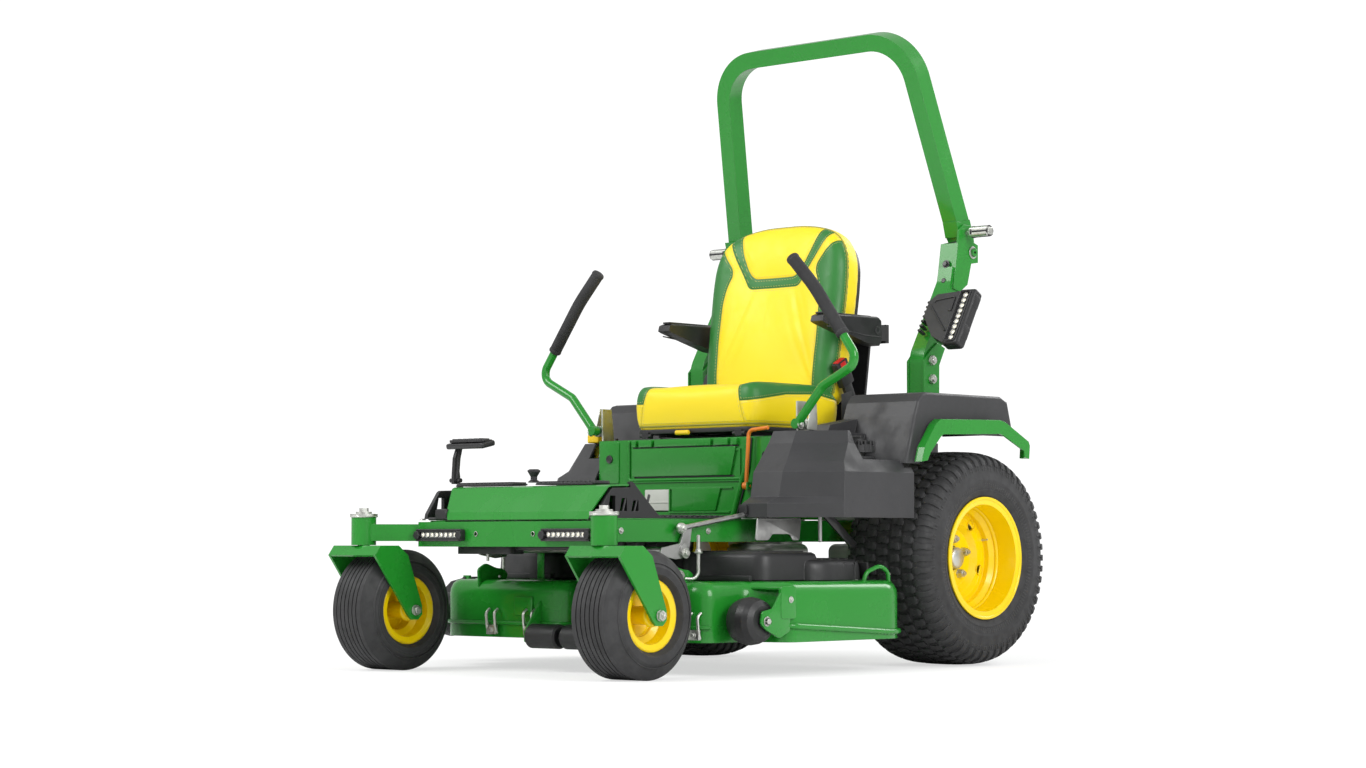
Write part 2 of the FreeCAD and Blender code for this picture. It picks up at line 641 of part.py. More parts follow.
def platform_trim():
    """Moulded end caps with three windows, and the ribbed foot mats on the slope and floor."""
    side = [("rail_front + 17", "rail_high + 4"), ("rail_front + 20", "rail_high + 18"),
            ("rail_front + 62", "wedge_top - 13"), ("rail_front + 70", "wedge_top - 8"),
            ("rail_front + 137", "wedge_top - 6"), ("rail_front + 137", "wedge_top + 9"),
            ("rail_front + 146", "wedge_top + 9"), ("rail_front + 254", "rail_high + 4")]
    windows = []
    for i in range(3):
        left = 52 + 44 * i
        base = f"rail_front + {left}"
        top = 40 - 6 * i
        windows.append([(base, "rail_high + 22"), (f"{base} + 28", "rail_high + 22"),
                        (f"{base} + 28", f"rail_high + 22 + {top}"),
                        (f"{base} + 8", f"rail_high + 22 + {top}")])
    cap = padded("YZ", side, "platform_half + 0.5", "rail_outer", windows)
    parts = [cap, mirror(cap)]
    ribs = []
    for i in range(14):
        y = f"rail_step - 95 - {22 * i}"
        ribs.append(span(30, "platform_half - 8", y, f"{y} + 12", "rail_high + 7", "rail_high + 10"))
    mat = fuse(span(24, "platform_half - 2", "rail_front + 268", "rail_step - 70", "rail_high + 4",
                    "rail_high + 8"), *ribs)
    pad_ribs = []
    for i in range(3):
        y = f"rail_front + 70 + {20 * i}"
        pad_ribs.append(span(54, "platform_half - 64", y, f"{y} + 10", "wedge_top + 4", "wedge_top + 8"))
    pad = fuse(span(50, "platform_half - 60", "rail_front + 66", "rail_front + 130", "wedge_top + 2.5",
                    "wedge_top + 5"), *pad_ribs)
    parts += [mat, mirror(mat), pad, mirror(pad)]
    return group(*parts)


def front_panel():
    """Green panel below the seat, tapering to the floor, with its recesses and side sheets."""
    front = "panel_y"
    outline = [("0 - panel_foot_half", "rail_high + 5"), ("panel_foot_half", "rail_high + 5"),
               ("panel_half - 75", "panel_top - 150"), ("panel_half", "panel_top - 130"),
               ("panel_half", "panel_top"), ("0 - panel_half", "panel_top"),
               ("0 - panel_half", "panel_top - 130"), ("0 - panel_half + 75", "panel_top - 150")]
    window = [(-152, 436), (-72, 436), (-72, 500), (-152, 500)]
    skin = padded("XZ", outline, front, f"{front} + 6", [[(str(u), str(v)) for u, v in window]])
    rim = span("0 - panel_half", "panel_half", front, f"{front} + 22", "panel_top - 4", "panel_top")
    frame = []
    for x0, x1, z0, z1 in ((-205, 205, 606, 612), (-205, 205, 520, 526), (-205, -199, 520, 612),
                           (199, 205, 520, 612)):
        frame.append(span(x0, x1, f"{front} - 4", f"{front} + 1", z0, z1))
    lower = []
    for x0, x1, z0, z1 in ((-60, 175, 500, 505), (-60, 165, 432, 437), (-65, -60, 432, 505)):
        lower.append(span(x0, x1, f"{front} - 4", f"{front} + 1", z0, z1))
    cheek = span("panel_foot_half - 4", "panel_foot_half - 1", f"{front} + 3", -205, "rail_high + 5",
                 "panel_top - 4")
    lid = span("1 - panel_foot_half", "panel_foot_half - 1", f"{front} + 3", -205, "panel_top - 7",
               "panel_top - 4")
    stub = rod("panel_foot_half - 4", "lever_pivot_y", "lever_pivot_z", "x", 8,
               "lever_x - panel_foot_half + 10")
    clevis = [span(x, x + 5, f"{front} - 32", front, 496, 516) for x in (226, 251)]
    eye = rod(220, f"{front} - 20", 506, "x", 4.05, 42)
    holes = [eye]
    holes += [rod(f"{sign}(panel_half - 45)", f"{front} - 5", "panel_top - 62", "y", 7, 20)
              for sign in ("", "0 - ")]
    side = fuse(cheek, stub)
    return cut(fuse(skin, rim, *frame, *lower, side, mirror(side), lid, *clevis), *holes)


def fender_edge(edge):
    """Tests for the top, front and rear edges of the fender's outer face."""
    bounds = edge.BoundBox
    return bounds.XMin > number("console_outer") - 1 and bounds.ZMin > number("recess_floor") + 2


def console_levels(corners, back, inset=0):
    """Outlines for a console's tiers. Each corner row holds a height and three points: the front's
    inner end, the front's outer end and the outer side's front end."""
    levels = []
    inner = f"console_inner - {inset}" if inset else "console_inner"
    for height, (x0, y0), (x1, y1), (x2, y2) in corners:
        x1, x2 = x1 - inset * 0.4, x2 - inset
        y0, y1, y2 = y0 + inset, y1 + inset, y2 + inset * 0.8
        outline = [(inner, back), (inner, y0), (x1, y1), (x2, y2), (x2, back)]
        levels.append((height, [(str(u), str(v)) for u, v in outline]))
    return levels


def fender(wall):
    """Fender block over the drive wheel, open below, at its rear and on its inner side."""
    inner, outer = "console_inner", "console_outer"
    side = [("0 - 342", "recess_floor - 8"), ("0 - 300", "fender_top - 66"), ("0 - 284", "fender_top - 26"),
            ("0 - 262", "fender_top - 4"), ("0 - 246", "fender_top"), ("fender_rear - 60", "fender_top"),
            ("fender_rear - 26", "fender_top - 14"), ("fender_rear", "console_top + 12"),
            ("fender_rear - 5", "console_low + 236"), ("0 - 245", "console_low + 236"),
            ("0 - 280", "recess_floor - 8")]
    hollow = [("0 - 337", "recess_floor - 20"), ("0 - 294", "fender_top - 72"),
              ("0 - 279", "fender_top - 31"),
              ("0 - 260", "fender_top - 10"), ("0 - 245", f"fender_top - {wall}"),
              ("fender_rear - 62", f"fender_top - {wall}"), ("fender_rear - 30", "fender_top - 19"),
              ("fender_rear - 6", "console_top + 12"), ("fender_rear + 20", "console_low + 200"),
              ("0 - 300", "console_low + 140")]
    block = rounded(padded("YZ", side, inner, outer), 9, fender_edge)
    return block, padded("YZ", hollow, f"{inner} - 5", f"{outer} - {wall}")


def console_shell(corners, step_x, step_y):
    """Moulded console and fender, open below and on its inner side. A level step is cut down into its
    top, outside one x and behind one y, as far as the fender."""
    wall = 5
    tiers = lofted(console_levels(corners, "0 - 305"))
    lowest, *middle, highest = corners
    core_rows = [(f"{lowest[0]} - {wall}", *lowest[1:]), *middle, (f"{highest[0]} - {wall}", *highest[1:])]
    core = lofted(console_levels(core_rows, "0 - 290", wall))
    step = span(step_x, "console_outer + 20", step_y, "0 - 280", "recess_floor", "console_top + 20")
    under_step = span(f"{step_x} - {wall}", "console_outer + 20", f"{step_y} - {wall}", "0 - 280",
                      f"recess_floor - {wall}", "console_top + 20")
    outside, inside = fender(wall)
    leg_hole = span("rops_x - 40", "rops_x + 40", "rops_foot_y - 41", "rops_foot_y + 46",
                    "fender_top - 60", "fender_top + 20")
    return cut(fuse(cut(tiers, step), outside), cut(core, under_step), inside, leg_hole)


LEFT_TIERS = [
    ("console_low", (350, -738), (440, -743), (600, -612)),
    ("console_low + 38", (350, -738), (440, -743), (600, -612)),
    ("console_low + 56", (350, -703), (448, -704), (600, -611)),
    ("console_low + 124", (350, -690), (449, -690), (600, -609)),
    ("recess_floor - 8", (350, -668), (444, -667), (583, -592)),
    ("console_top - 35", (350, -628), (431, -627), (548, -530)),
    ("console_top", (350, -606), (427, -606), (533, -514)),
]
RIGHT_TIERS = [
    ("console_low", (350, -620), (508, -616), (600, -520)),
    ("console_low + 38", (350, -620), (508, -616), (600, -520)),
    ("console_low + 124", (350, -592), (500, -587), (600, -492)),
    ("recess_floor - 14", (350, -577), (462, -576), (576, -470)),
    ("switch_z", (350, -527), (452, -527), (540, -440)),
]


def lever_slot(front):
    return span("lever_x - 20", "lever_x + 20", front, "lever_pivot_y + 58", "console_top - 60",
                "console_top + 20")


def left_console():
    """Carries the fuel filler in a recess before the fender, and a low wall behind the lever."""
    shell = console_shell(LEFT_TIERS, 436, -503)
    collar = rod("cap_x", "cap_y", "recess_floor - 3", "z", 40, 12)
    throat = rod("cap_x", "cap_y", "recess_floor - 30", "z", 24, 60)
    wall = padded("YZ", [("0 - 436", "console_top - 4"), ("0 - 424", "console_top + 22"),
                         ("0 - 286", "console_top + 44"), ("0 - 286", "console_top - 4")],
                  "console_inner", "console_inner + 52")
    return cut(fuse(shell, collar, wall), throat, lever_slot(-600))


def right_console():
    """Carries the blade switch on a lower pod, with a slot for the throttle."""
    shell = mirror(console_shell(RIGHT_TIERS, 556, -438))
    knob_hole = rod("switch_x", "switch_y", "switch_z - 30", "z", 8.05, 60)
    throttle_slot = span("switch_x - 66", "switch_x - 58", "switch_y + 60", "switch_y + 130",
                         "switch_z - 30",
                         "switch_z + 30")
    return cut(shell, knob_hole, throttle_slot, mirror(lever_slot(-625)))


def wheel_guards():
    """Green guard rail round the outside of each fender, on two stays."""
    outer = [("0 - 316", "572"), ("0 - 303", "612"), ("0 - 250", "678"), ("0 - 228", "692"),
             ("50", "698"), ("78", "692"), ("190", "640"), ("196", "628"), ("192", "590")]
    inner = [("180", "592"), ("183", "624"), ("176", "633"), ("74", "681"), ("48", "686"),
             ("0 - 224", "680"), ("0 - 241", "669"), ("0 - 291", "607"), ("0 - 303", "574")]
    skin = padded("YZ", outer + inner, "console_outer + 10", "console_outer + 36")
    lip_inner = [("170", "594"), ("168", "612"), ("66", "655"), ("48", "658"), ("0 - 216", "650"),
                 ("0 - 228", "643"), ("0 - 276", "598"), ("0 - 289", "576")]
    lip = padded("YZ", outer + lip_inner, "console_outer + 31", "console_outer + 36")
    stays = [span("console_outer + 0.5", "console_outer + 12", y, y + 40, 681, 685) for y in (-190, 0)]
    return both(fuse(skin, lip, *stays))


def make_body():
    node(foot_platform(), "foot_platform")
    node(platform_trim(), "platform_trim")
    node(front_panel(), "front_panel")
    node(left_console(), "left_console")
    node(right_console(), "right_console")
    node(wheel_guards(), "wheel_guards")


# ---------------------------------------------------------------- roll bar and lights


LEG_STEPS = [(0, 178), (130, 396), (141, 444)]


def rops_legs():
    """Two lower posts leaning to the rear, with formed foot channels and hinge brackets."""
    half = (number("rops_depth") / 2, number("rops_section") / 2)
    post = pipe("yz", ("rops_x", "rops_foot_y", "rops_foot_z + 1"), LEG_STEPS, 60, half,
                number("rops_wall"))
    parts = [post]
    foot = [("rops_foot_y - 34", "rops_foot_z + 1"), ("rops_foot_y + 36", "rops_foot_z + 1"),
            ("rops_foot_y + 38", "rops_foot_z + 160"), ("rops_foot_y + 66", "rops_foot_z + 210"),
            ("rops_foot_y + 30", "rops_foot_z + 224"), ("rops_foot_y - 6", "rops_foot_z + 198"),
            ("rops_foot_y - 34", "rops_foot_z + 170")]
    ear = [("rops_pivot_y - 93", "rops_pivot_z - 111"), ("rops_pivot_y - 70", "rops_pivot_z + 24"),
           ("rops_pivot_y - 66", "rops_pivot_z + 62"), ("rops_pivot_y - 44", "rops_pivot_z + 80"),
           ("rops_pivot_y - 12", "rops_pivot_z + 78"), ("rops_pivot_y + 2", "rops_pivot_z + 32"),
           ("rops_pivot_y + 27", "rops_pivot_z + 24"), ("rops_pivot_y + 27", "rops_pivot_z - 28"),
           ("rops_pivot_y - 6", "rops_pivot_z - 33"), ("rops_pivot_y - 25", "rops_pivot_z - 96"),
           ("rops_pivot_y - 60", "rops_pivot_z - 118")]
    low_ear = ear[:2] + [("rops_pivot_y - 40", "rops_pivot_z + 30")] + ear[5:]
    for x0, x1, plate in ((-31.5, -25.5, low_ear), (25.5, 31.5, ear)):
        parts.append(padded("YZ", foot, f"rops_x + ({x0})", f"rops_x + ({x1})"))
        parts.append(padded("YZ", plate, f"rops_x + ({x0})", f"rops_x + ({x1})"))
    web = [("rops_pivot_y - 93", "rops_pivot_z - 111"), ("rops_pivot_y - 70", "rops_pivot_z + 24"),
           ("rops_pivot_y - 65", "rops_pivot_z + 24"), ("rops_pivot_y - 88", "rops_pivot_z - 111")]
    parts.append(padded("YZ", web, "rops_x - 26", "rops_x + 26"))
    parts.append(span("rops_x - 34", "rops_x + 34", "rops_foot_y - 33", "rops_foot_y + 33",
                      "rops_foot_z + 0.5",
                      "rops_foot_z + 8"))
    hinge = rod("rops_x - 60", "rops_pivot_y", "rops_pivot_z", "x", 8.05, 120)
    pin = rod("rops_x - 60", "rops_pivot_y - 26", "rops_pivot_z + 57", "x", 8.05, 120)
    return both(cut(fuse(*parts), hinge, pin))


def rops_hoop():
    """Upper hoop that folds to the rear, with the hinge cheeks, bolts and lock-pin bores at its ends."""
    tilt = Rotation(Vector(1, 0, 0), number("hoop_lean"))
    section = (number("rops_section") / 2, number("rops_depth") / 2)
    height = number("rops_height")
    step = number("rops_x") - number("rops_top_half")
    across = 2 * number("rops_top_half")
    tube = pipe("xz", ("0 - rops_x", "rops_pivot_y - 15", "rops_pivot_z + 40"),
                [(step, height), (step + across, height), (2 * step + across, 0)],
                number("rops_bend"), section, number("rops_wall"), tilt)
    outline = [("rops_pivot_y - 50", "rops_pivot_z + 40"), ("rops_pivot_y - 58", "rops_pivot_z + 84"),
               ("rops_pivot_y - 4", "rops_pivot_z + 98"), ("rops_pivot_y + 14", "rops_pivot_z + 46"),
               ("rops_pivot_y + 22", "rops_pivot_z + 12"), ("rops_pivot_y + 20", "rops_pivot_z - 12"),
               ("rops_pivot_y", "rops_pivot_z - 22"), ("rops_pivot_y - 18", "rops_pivot_z - 12"),
               ("rops_pivot_y - 24", "rops_pivot_z + 12")]
    cheeks = [padded("YZ", outline, f"rops_x + ({x0})", f"rops_x + ({x1})")
              for x0, x1 in ((-25.3, -21), (21, 25.3))]
    block = padded("YZ", [("rops_pivot_y - 69", "rops_pivot_z + 87"),
                          ("rops_pivot_y - 56", "rops_pivot_z + 42"),
                          ("rops_pivot_y - 40", "rops_pivot_z + 42"),
                          ("rops_pivot_y - 50", "rops_pivot_z + 87")],
                   "rops_x - 25.3", "rops_x + 25.3")
    bolt = rod("rops_x - 40", "rops_pivot_y", "rops_pivot_z", "x", 8, 80)
    heads = [hexagon("rops_x + 32", "rops_pivot_y", "rops_pivot_z", "x", 13, 9),
             hexagon("rops_x - 41", "rops_pivot_y", "rops_pivot_z", "x", 13, 9)]
    end = fuse(*cheeks, block, bolt, *heads)
    bores = [rod(f"{sign}rops_x - 30", "rops_pivot_y - 26", "rops_pivot_z + 57", "x", 8.05, 60)
             for sign in ("", "0 - ")]
    return cut(fuse(tube, end, mirror(end)), *bores)


def lock_pin():
    """Lock pin drawn just clear of the hoop, with its moulded handle. It slides in to lock."""
    shank = rod("rops_x + 26", "rops_pivot_y - 26", "rops_pivot_z + 57", "x", 8, 40)
    grip = rounded(box("rops_x + 44.5", "rops_pivot_y - 42", "rops_pivot_z + 42", 72, 32, 30), 8,
                   lambda edge: True)
    return fuse(shank, grip)


def lights():
    """Two bars on the front beam, and one lamp before the left roll-bar post, parallel to its lean."""
    bar = span(150, 329, "rail_front - 15", "rail_front - 0.5", 353, 385)
    bar = rounded(bar, 6, runs_along("y"))
    window = span(164, 315, "rail_front - 16", "rail_front - 9", 361, 378)
    head = rounded(padded("XZ", [(107, -100), (169, -100), (169, 90), (107, 90)], 0, 40), 12,
                   lambda edge: True)
    hood = padded("XZ", [(112, 84), (30, 78), (8, 56), (8, 4), (60, -66), (112, -94)], 5, 36)
    stay = padded("XZ", [(-16, 16), (16, 16), (16, 44), (-16, 44)], 30, 40)
    face = padded("XZ", [(121, -86), (149, -86), (149, 76), (121, 76)], -2, 5)
    lamp = cut(fuse(head, hood, stay), face)
    lamp = place(lamp, "rops_x", "rops_foot_y - 10", "rops_foot_z + 300", Rotation(Vector(1, 0, 0), -30))
    return group(both(cut(bar, window)), lamp)


def make_roll_bar():
    node(rops_legs(), "rops_legs")
    node(rops_hoop(), "rops_hoop")
    pin = node(lock_pin(), "left_lock_pin")
    node(mirror(pin), "right_lock_pin")
    node(lights(), "lights")


# ---------------------------------------------------------------- seat


def seat_pan():
    """Seat plate with slide rails, front hinge pins, the back's carrier plate and armrest stubs."""
    plate = span(-205, 205, "seat_front + 24", "seat_rear + 4", "seat_low - 7", "seat_low - 2")
    rails = [span(x, x + 30, "seat_front + 60", "seat_rear - 20", "seat_low - 17", "seat_low - 6")
             for x in (-170, 140)]
    lugs = [span(x, x + 24, "seat_front + 10", "seat_front + 32", "seat_low - 20", "seat_low - 2")
            for x in (-190, 166)]
    pins = [rod(x, "seat_front + 16", "seat_low - 12", "x", 6, 44) for x in (-200, 156)]
    tilt = Rotation(Vector(1, 0, 0), 0 - number("back_lean"))
    carrier = box(-215, "seat_rear + 108", "seat_low - 2", 430, 8, 330, tilt)
    shelf = span(-205, 205, "seat_rear + 2", "seat_rear + 114", "seat_low - 7", "seat_low")
    arms = []
    for sign in ("", "0 - "):
        x0, x1 = ("200", "270") if sign == "" else ("0 - 270", "0 - 200")
        arms.append(span(x0, x1, -8, 6, "arm_z - 30", "arm_z + 24"))
        x0, x1 = ("262", "270") if sign == "" else ("0 - 270", "0 - 262")
        arms.append(span(x0, x1, "arm_y - 22", 6, "arm_z - 24", "arm_z + 20"))
        start = "262" if sign == "" else "0 - 312"
        arms.append(rod(start, "arm_y", "arm_z", "x", 12, 50))
    return fuse(plate, *rails, *lugs, *pins, carrier, shelf, *arms)


def seat_cushion():
    outline = [("0 - seat_half + 26", "seat_front"), ("seat_half - 26", "seat_front"),
               ("seat_half", "seat_front + 60"), ("seat_half", "seat_rear"),
               ("0 - seat_half", "seat_rear"), ("0 - seat_half", "seat_front + 60")]
    block = padded("XY", outline, "seat_low", "seat_high")
    return rounded(block, 24, lambda edge: edge.BoundBox.ZMax > number("seat_high") - 1)


def backrest():
    """Tall waisted back cushion, leaning to the rear."""
    height = "back_top - back_low"
    outline = [("0 - 190", "0"), ("190", "0"), ("228", f"({height})*0.1"),
               ("back_half - 8", f"({height})*0.3"),
               ("back_half", f"({height})*0.5"), ("back_half - 12", f"({height})*0.72"),
               ("206", f"({height})*0.92"), ("110", f"({height})*1.0"), ("0 - 110", f"({height})*1.0"),
               ("0 - 206", f"({height})*0.92"), ("12 - back_half", f"({height})*0.72"),
               ("0 - back_half", f"({height})*0.5"), ("8 - back_half", f"({height})*0.3"),
               ("0 - 228", f"({height})*0.1")]
    block = rounded(padded("XZ", outline, 0, "back_thick"), 20, lambda edge: True)
    return place(block, 0, "seat_rear + 11", "back_low", Rotation(Vector(1, 0, 0), 0 - number("back_lean")))


def armrest():
    """Tapered pad that hinges up about a stub at its rear."""
    side = [("0 - 357", "976"), ("0 - 352", "992"), ("0 - 338", "998"), ("0 - 104", "1002"),
            ("0 - 88", "990"), ("0 - 84", "936"), ("0 - 98", "917"), ("0 - 160", "924"), ("0 - 345", "971")]
    body = padded("YZ", side, "arm_x - arm_width/2", "arm_x + arm_width/2")
    body = rounded(body, 7, runs_along("y"))
    bore = rod("arm_x - 40", "arm_y", "arm_z", "x", 12.05, 80)
    return cut(body, bore)


def make_seat():
    node(seat_pan(), "seat_pan")
    node(seat_cushion(), "seat_cushion")
    node(backrest(), "backrest")
    arm = node(armrest(), "left_armrest")
    node(mirror(arm), "right_armrest")


# ---------------------------------------------------------------- controls


def lever_bracket():
    """Zinc-plated yoke that carries one control lever and rocks fore and aft."""
    plate = [("lever_pivot_y - 20", "lever_pivot_z - 20"), ("lever_pivot_y + 20", "lever_pivot_z - 20"),
             ("lever_pivot_y + 22", "lever_pivot_z + 24"), ("lever_pivot_y + 8", "lever_z + 68"),
             ("lever_pivot_y - 30", "lever_z + 68"), ("lever_pivot_y - 30", "lever_z + 10")]
    blade = padded("YZ", plate, "lever_x - 19", "lever_x - 14")
    boss = rod("lever_x - 19", "lever_pivot_y", "lever_pivot_z", "x", 16, 30)
    eye = rod("lever_x", "lever_pivot_y - 30", "lever_z + 4", "y", 15, 30)
    web = span("lever_x - 18", "lever_x + 3", "lever_pivot_y - 30", "lever_pivot_y - 10", "lever_z - 8",
               "lever_z + 16")
    bore = rod("lever_x", "lever_pivot_y - 50", "lever_z + 4", "y", 6.05, 60)
    shaft_bore = rod("lever_x - 30", "lever_pivot_y", "lever_pivot_z", "x", 8.05, 60)
    return cut(fuse(blade, boss, eye, web), bore, shaft_bore)


LEVER_STEPS = [(89, 100), (218, 163), (61, 378), (-14, 457)]
GRIP_START = (162, 240)
LEVER_BEND = 34


def control_lever():
    """Bent tube from the yoke, outward and then back in over the driver's lap."""
    start = ("lever_x", "lever_y", "lever_z + 4")
    tube = pipe("xz", start, LEVER_STEPS, LEVER_BEND, number("lever_radius"))
    pin = rod("lever_x", "lever_y - 6", "lever_z + 4", "y", 6, "lever_pivot_y - lever_y + 10")
    boss = rod("lever_x", "lever_y - 12", "lever_z + 4", "y", 14, 24)
    return fuse(tube, boss, pin)


def lever_grip():
    """Foam sleeve over the upper part of the lever, closed at its tip."""
    x, z = GRIP_START
    steps = [(u - x, v - z) for u, v in LEVER_STEPS[2:]]
    start = (f"lever_x + {x}", "lever_y", f"lever_z + 4 + {z}")
    sleeve = pipe("xz", start, steps, LEVER_BEND, number("grip_radius"),
                  number("grip_radius - lever_radius - 0.3"))
    return sleeve


def fuel_cap():
    cap = rod("cap_x", "cap_y", "recess_floor + 20", "z", 50, 22)
    crown = rod("cap_x", "cap_y", "recess_floor + 42", "z", 43, 10)
    hub = rod("cap_x", "cap_y", "recess_floor + 52", "z", 26, 6)
    notches = []
    for i in range(6):
        angle = math.radians(60 * i + 15)
        x = f"cap_x + {48 * math.cos(angle):.2f}"
        y = f"cap_y + {48 * math.sin(angle):.2f}"
        notches.append(rod(x, y, "recess_floor + 40", "z", 9, 14))
    plug = rod("cap_x", "cap_y", "recess_floor - 14", "z", 23.9, 36)
    return cut(fuse(cap, crown, hub, plug), *notches)


def pto_knob():
    """Pull-up blade switch: a stem with a squared cap."""
    stem = rod("switch_x", "switch_y", "switch_z - 40", "z", 8, 56)
    cap = rounded(span("switch_x - 23", "switch_x + 23", "switch_y - 20", "switch_y + 20", "switch_z + 3",
                       "switch_z + 29"), 5, lambda edge: True)
    return fuse(stem, cap)


def brake_lever():
    """Bent rod in front of the panel, hinged at its foot."""
    handle = pipe("xz", (241, "panel_y - 20", 506), [(10, 154), (80, 160)], 18, 5.5)
    pin = rod(226, "panel_y - 20", 506, "x", 4, 30)
    eye = rod(233, "panel_y - 20", 506, "x", 10, 16)
    return fuse(handle, pin, eye)


def height_knob():
    profile = [("0", "0 - 2"), ("15", "0 - 2"), ("15", "1"), ("9", "6"), ("9", "14"), ("16", "26"),
               ("16", "31"),
               ("12", "34"), ("0", "34")]
    return place(turned(profile, "Z"), 10, "rail_front + 100", "wedge_top + 12")


def deck_lift_pedal():
    """Foot arm and pad that raise the deck, hinged on the platform."""
    arm = padded("YZ", [("0 - 12", "0 - 10"), ("12", "0 - 10"), ("12", "10"), ("4", "60"), ("14", "86"),
                        ("4", "92"), ("0 - 8", "62"), ("0 - 12", "10")], -5, 5)
    pad = rounded(box(-28, -12, 84, 146, 52, 16, Rotation(Vector(1, 0, 0), 12)), 6, lambda edge: True)
    pin = rod(-20, 0, 0, "x", 6, 40)
    return place(fuse(arm, pad, pin), -289, "rail_front + 96", "wedge_top + 20")


def make_controls():
    for name, build in (("lever_bracket", lever_bracket), ("control_lever", control_lever),
                        ("lever_grip", lever_grip)):
        piece = node(build(), "left_" + name)
        node(mirror(piece), "right_" + name)
    node(fuel_cap(), "fuel_cap")
    node(pto_knob(), "pto_knob")
    node(brake_lever(), "brake_lever")
    node(height_knob(), "height_knob")
    node(deck_lift_pedal(), "deck_lift_pedal")


# ---------------------------------------------------------------- mower deck


def deck_plan(grow):
    """Half of the deck's outline, grown or shrunk by a step, then mirrored to close it."""
    half = [("470", f"deck_front - {grow}"), (f"488 + {grow}", "deck_front + 18"),
            (f"500 + {grow}", f"0 - 884 - {grow}"), ("600", f"0 - 872 - {grow}"),
            (f"deck_half + {grow}", "0 - 852"), (f"deck_half + {grow}", "0 - 430"),
            (f"560 + {grow}*0.4", f"deck_rear + {grow}")]
    other = [(f"0 - ({u})", v) for u, v in reversed(half)]
    return half + other


def deck_shell():
    """Welded deck: formed shell, lower bead, spindle housings, ears and roller brackets."""
    shell = padded("XY", deck_plan("0"), "deck_low", "deck_top")
    shell = rounded(shell, 9, lambda edge: edge.BoundBox.ZMin > number("deck_top") - 1)
    core = padded("XY", deck_plan("(0 - deck_sheet)"), "deck_low - 5", "deck_top - deck_sheet")
    bead = padded("XY", deck_plan("7"), "deck_low - 8", "deck_low + 8")
    bead_core = padded("XY", deck_plan("1"), "deck_low - 4", "deck_low + 4")
    bead = cut(bead, bead_core, padded("XY", deck_plan("(0 - 4)"), "deck_low - 9", "deck_low + 9"))
    parts = [cut(shell, core), bead]
    bores = []
    for x, y in (("blade_x", "blade_y"), ("0 - blade_x", "blade_y"), ("0", "centre_blade_y")):
        parts.append(rod(x, y, "deck_top - 40", "z", 42, 82))
        parts.append(rod(x, y, "deck_top - 2", "z", 66, 8))
        bores.append(rod(x, y, "deck_top - 60", "z", "spindle_radius + running_gap", 140))
    ear = padded("YZ", [("deck_front + 4", "deck_top - 60"), ("deck_front + 60", "deck_top - 6"),
                        ("deck_front + 60", "deck_top + 16"), ("deck_front + 22", "deck_top + 46"),
                        ("deck_front - 4", "deck_top + 30")], "0 - 3", "3")
    ears = [place(ear, 352, 0, 0)]
    rear_ear = span(349, 355, "deck_rear - 70", "deck_rear - 20", "deck_top - 2", "deck_top + 40")
    bores.append(rod(330, "deck_front + 26", "deck_top + 22", "x", 6.5, 44))
    clevis = []
    for x0, x1 in (("scalp_x - 60", "scalp_x - 54"), ("scalp_x + 50", "scalp_x + 56")):
        plate = [("0 - 905", "deck_low + 4"), ("0 - 860", "deck_low + 20"), ("0 - 862", "deck_top - 16"),
                 ("0 - 888", "deck_top - 16"), ("scalp_y - 16", "scalp_z + 26"),
                 ("scalp_y - 22", "scalp_z - 6"),
                 ("scalp_y", "scalp_z - 22")]
        clevis.append(padded("YZ", plate, x0, x1))
    bores.append(rod("scalp_x - 80", "scalp_y", "scalp_z", "x", 6.05, 160))
    side = fuse(*ears, rear_ear, *clevis)
    roller_plates = []
    for x in (-106, 160):
        plate = [("roller_y - 16", "roller_z - 18"), ("roller_y - 16", "roller_z + 14"),
                 ("deck_front - 3", "deck_top - 60"), ("deck_front + 3", "deck_top - 60"),
                 ("deck_front + 3", "deck_low + 6"), ("roller_y + 16", "roller_z - 18")]
        roller_plates.append(padded("YZ", plate, x, f"{x} + 6"))
    bores.append(rod(-120, "roller_y", "roller_z", "x", 6.05, 300))
    bores += [rod("0 - scalp_x - 80", "scalp_y", "scalp_z", "x", 6.05, 160),
              rod(-374, "deck_front + 26", "deck_top + 22", "x", 6.5, 44)]
    opening = span("0 - deck_half - 20", "20 - deck_half", -838, -470, "deck_low + 12", "deck_top - 16")
    lugs = [span("0 - deck_half - 16", "2 - deck_half", y, y + 10, "deck_top - 24", "deck_top + 8")
            for y in (-846, -472)]
    bores.append(rod("0 - deck_half - 8", -860, "deck_top - 1", "y", 5.05, 420))
    return cut(fuse(*parts, side, mirror(side), *roller_plates, *lugs), opening, *bores)


def belt_covers():
    """Moulded covers over the outer spindle pulleys, hollow below."""
    plan = [("232", "0 - 545"), ("232", "0 - 868"), ("300", "0 - 892"), ("520", "0 - 832"),
            ("566", "0 - 730"), ("552", "0 - 470"), ("310", "0 - 455")]
    inner = [("237", "0 - 548"), ("237", "0 - 864"), ("300", "0 - 886"), ("517", "0 - 827"),
             ("560", "0 - 728"), ("547", "0 - 475"), ("313", "0 - 460")]
    skin = rounded(padded("XY", plan, "deck_top + 1", "cover_top"), 12,
                   lambda edge: edge.BoundBox.ZMin > number("cover_top") - 1)
    hollow = padded("XY", inner, "deck_top - 2", "cover_top - 4")
    mouth = span(225, 245, "blade_y - 75", "blade_y + 75", "deck_top", "pulley_high + 3")
    front_mouth = span(225, 300, -850, -700, "deck_top", "pulley_high + 3")
    return both(cut(skin, hollow, mouth, front_mouth))


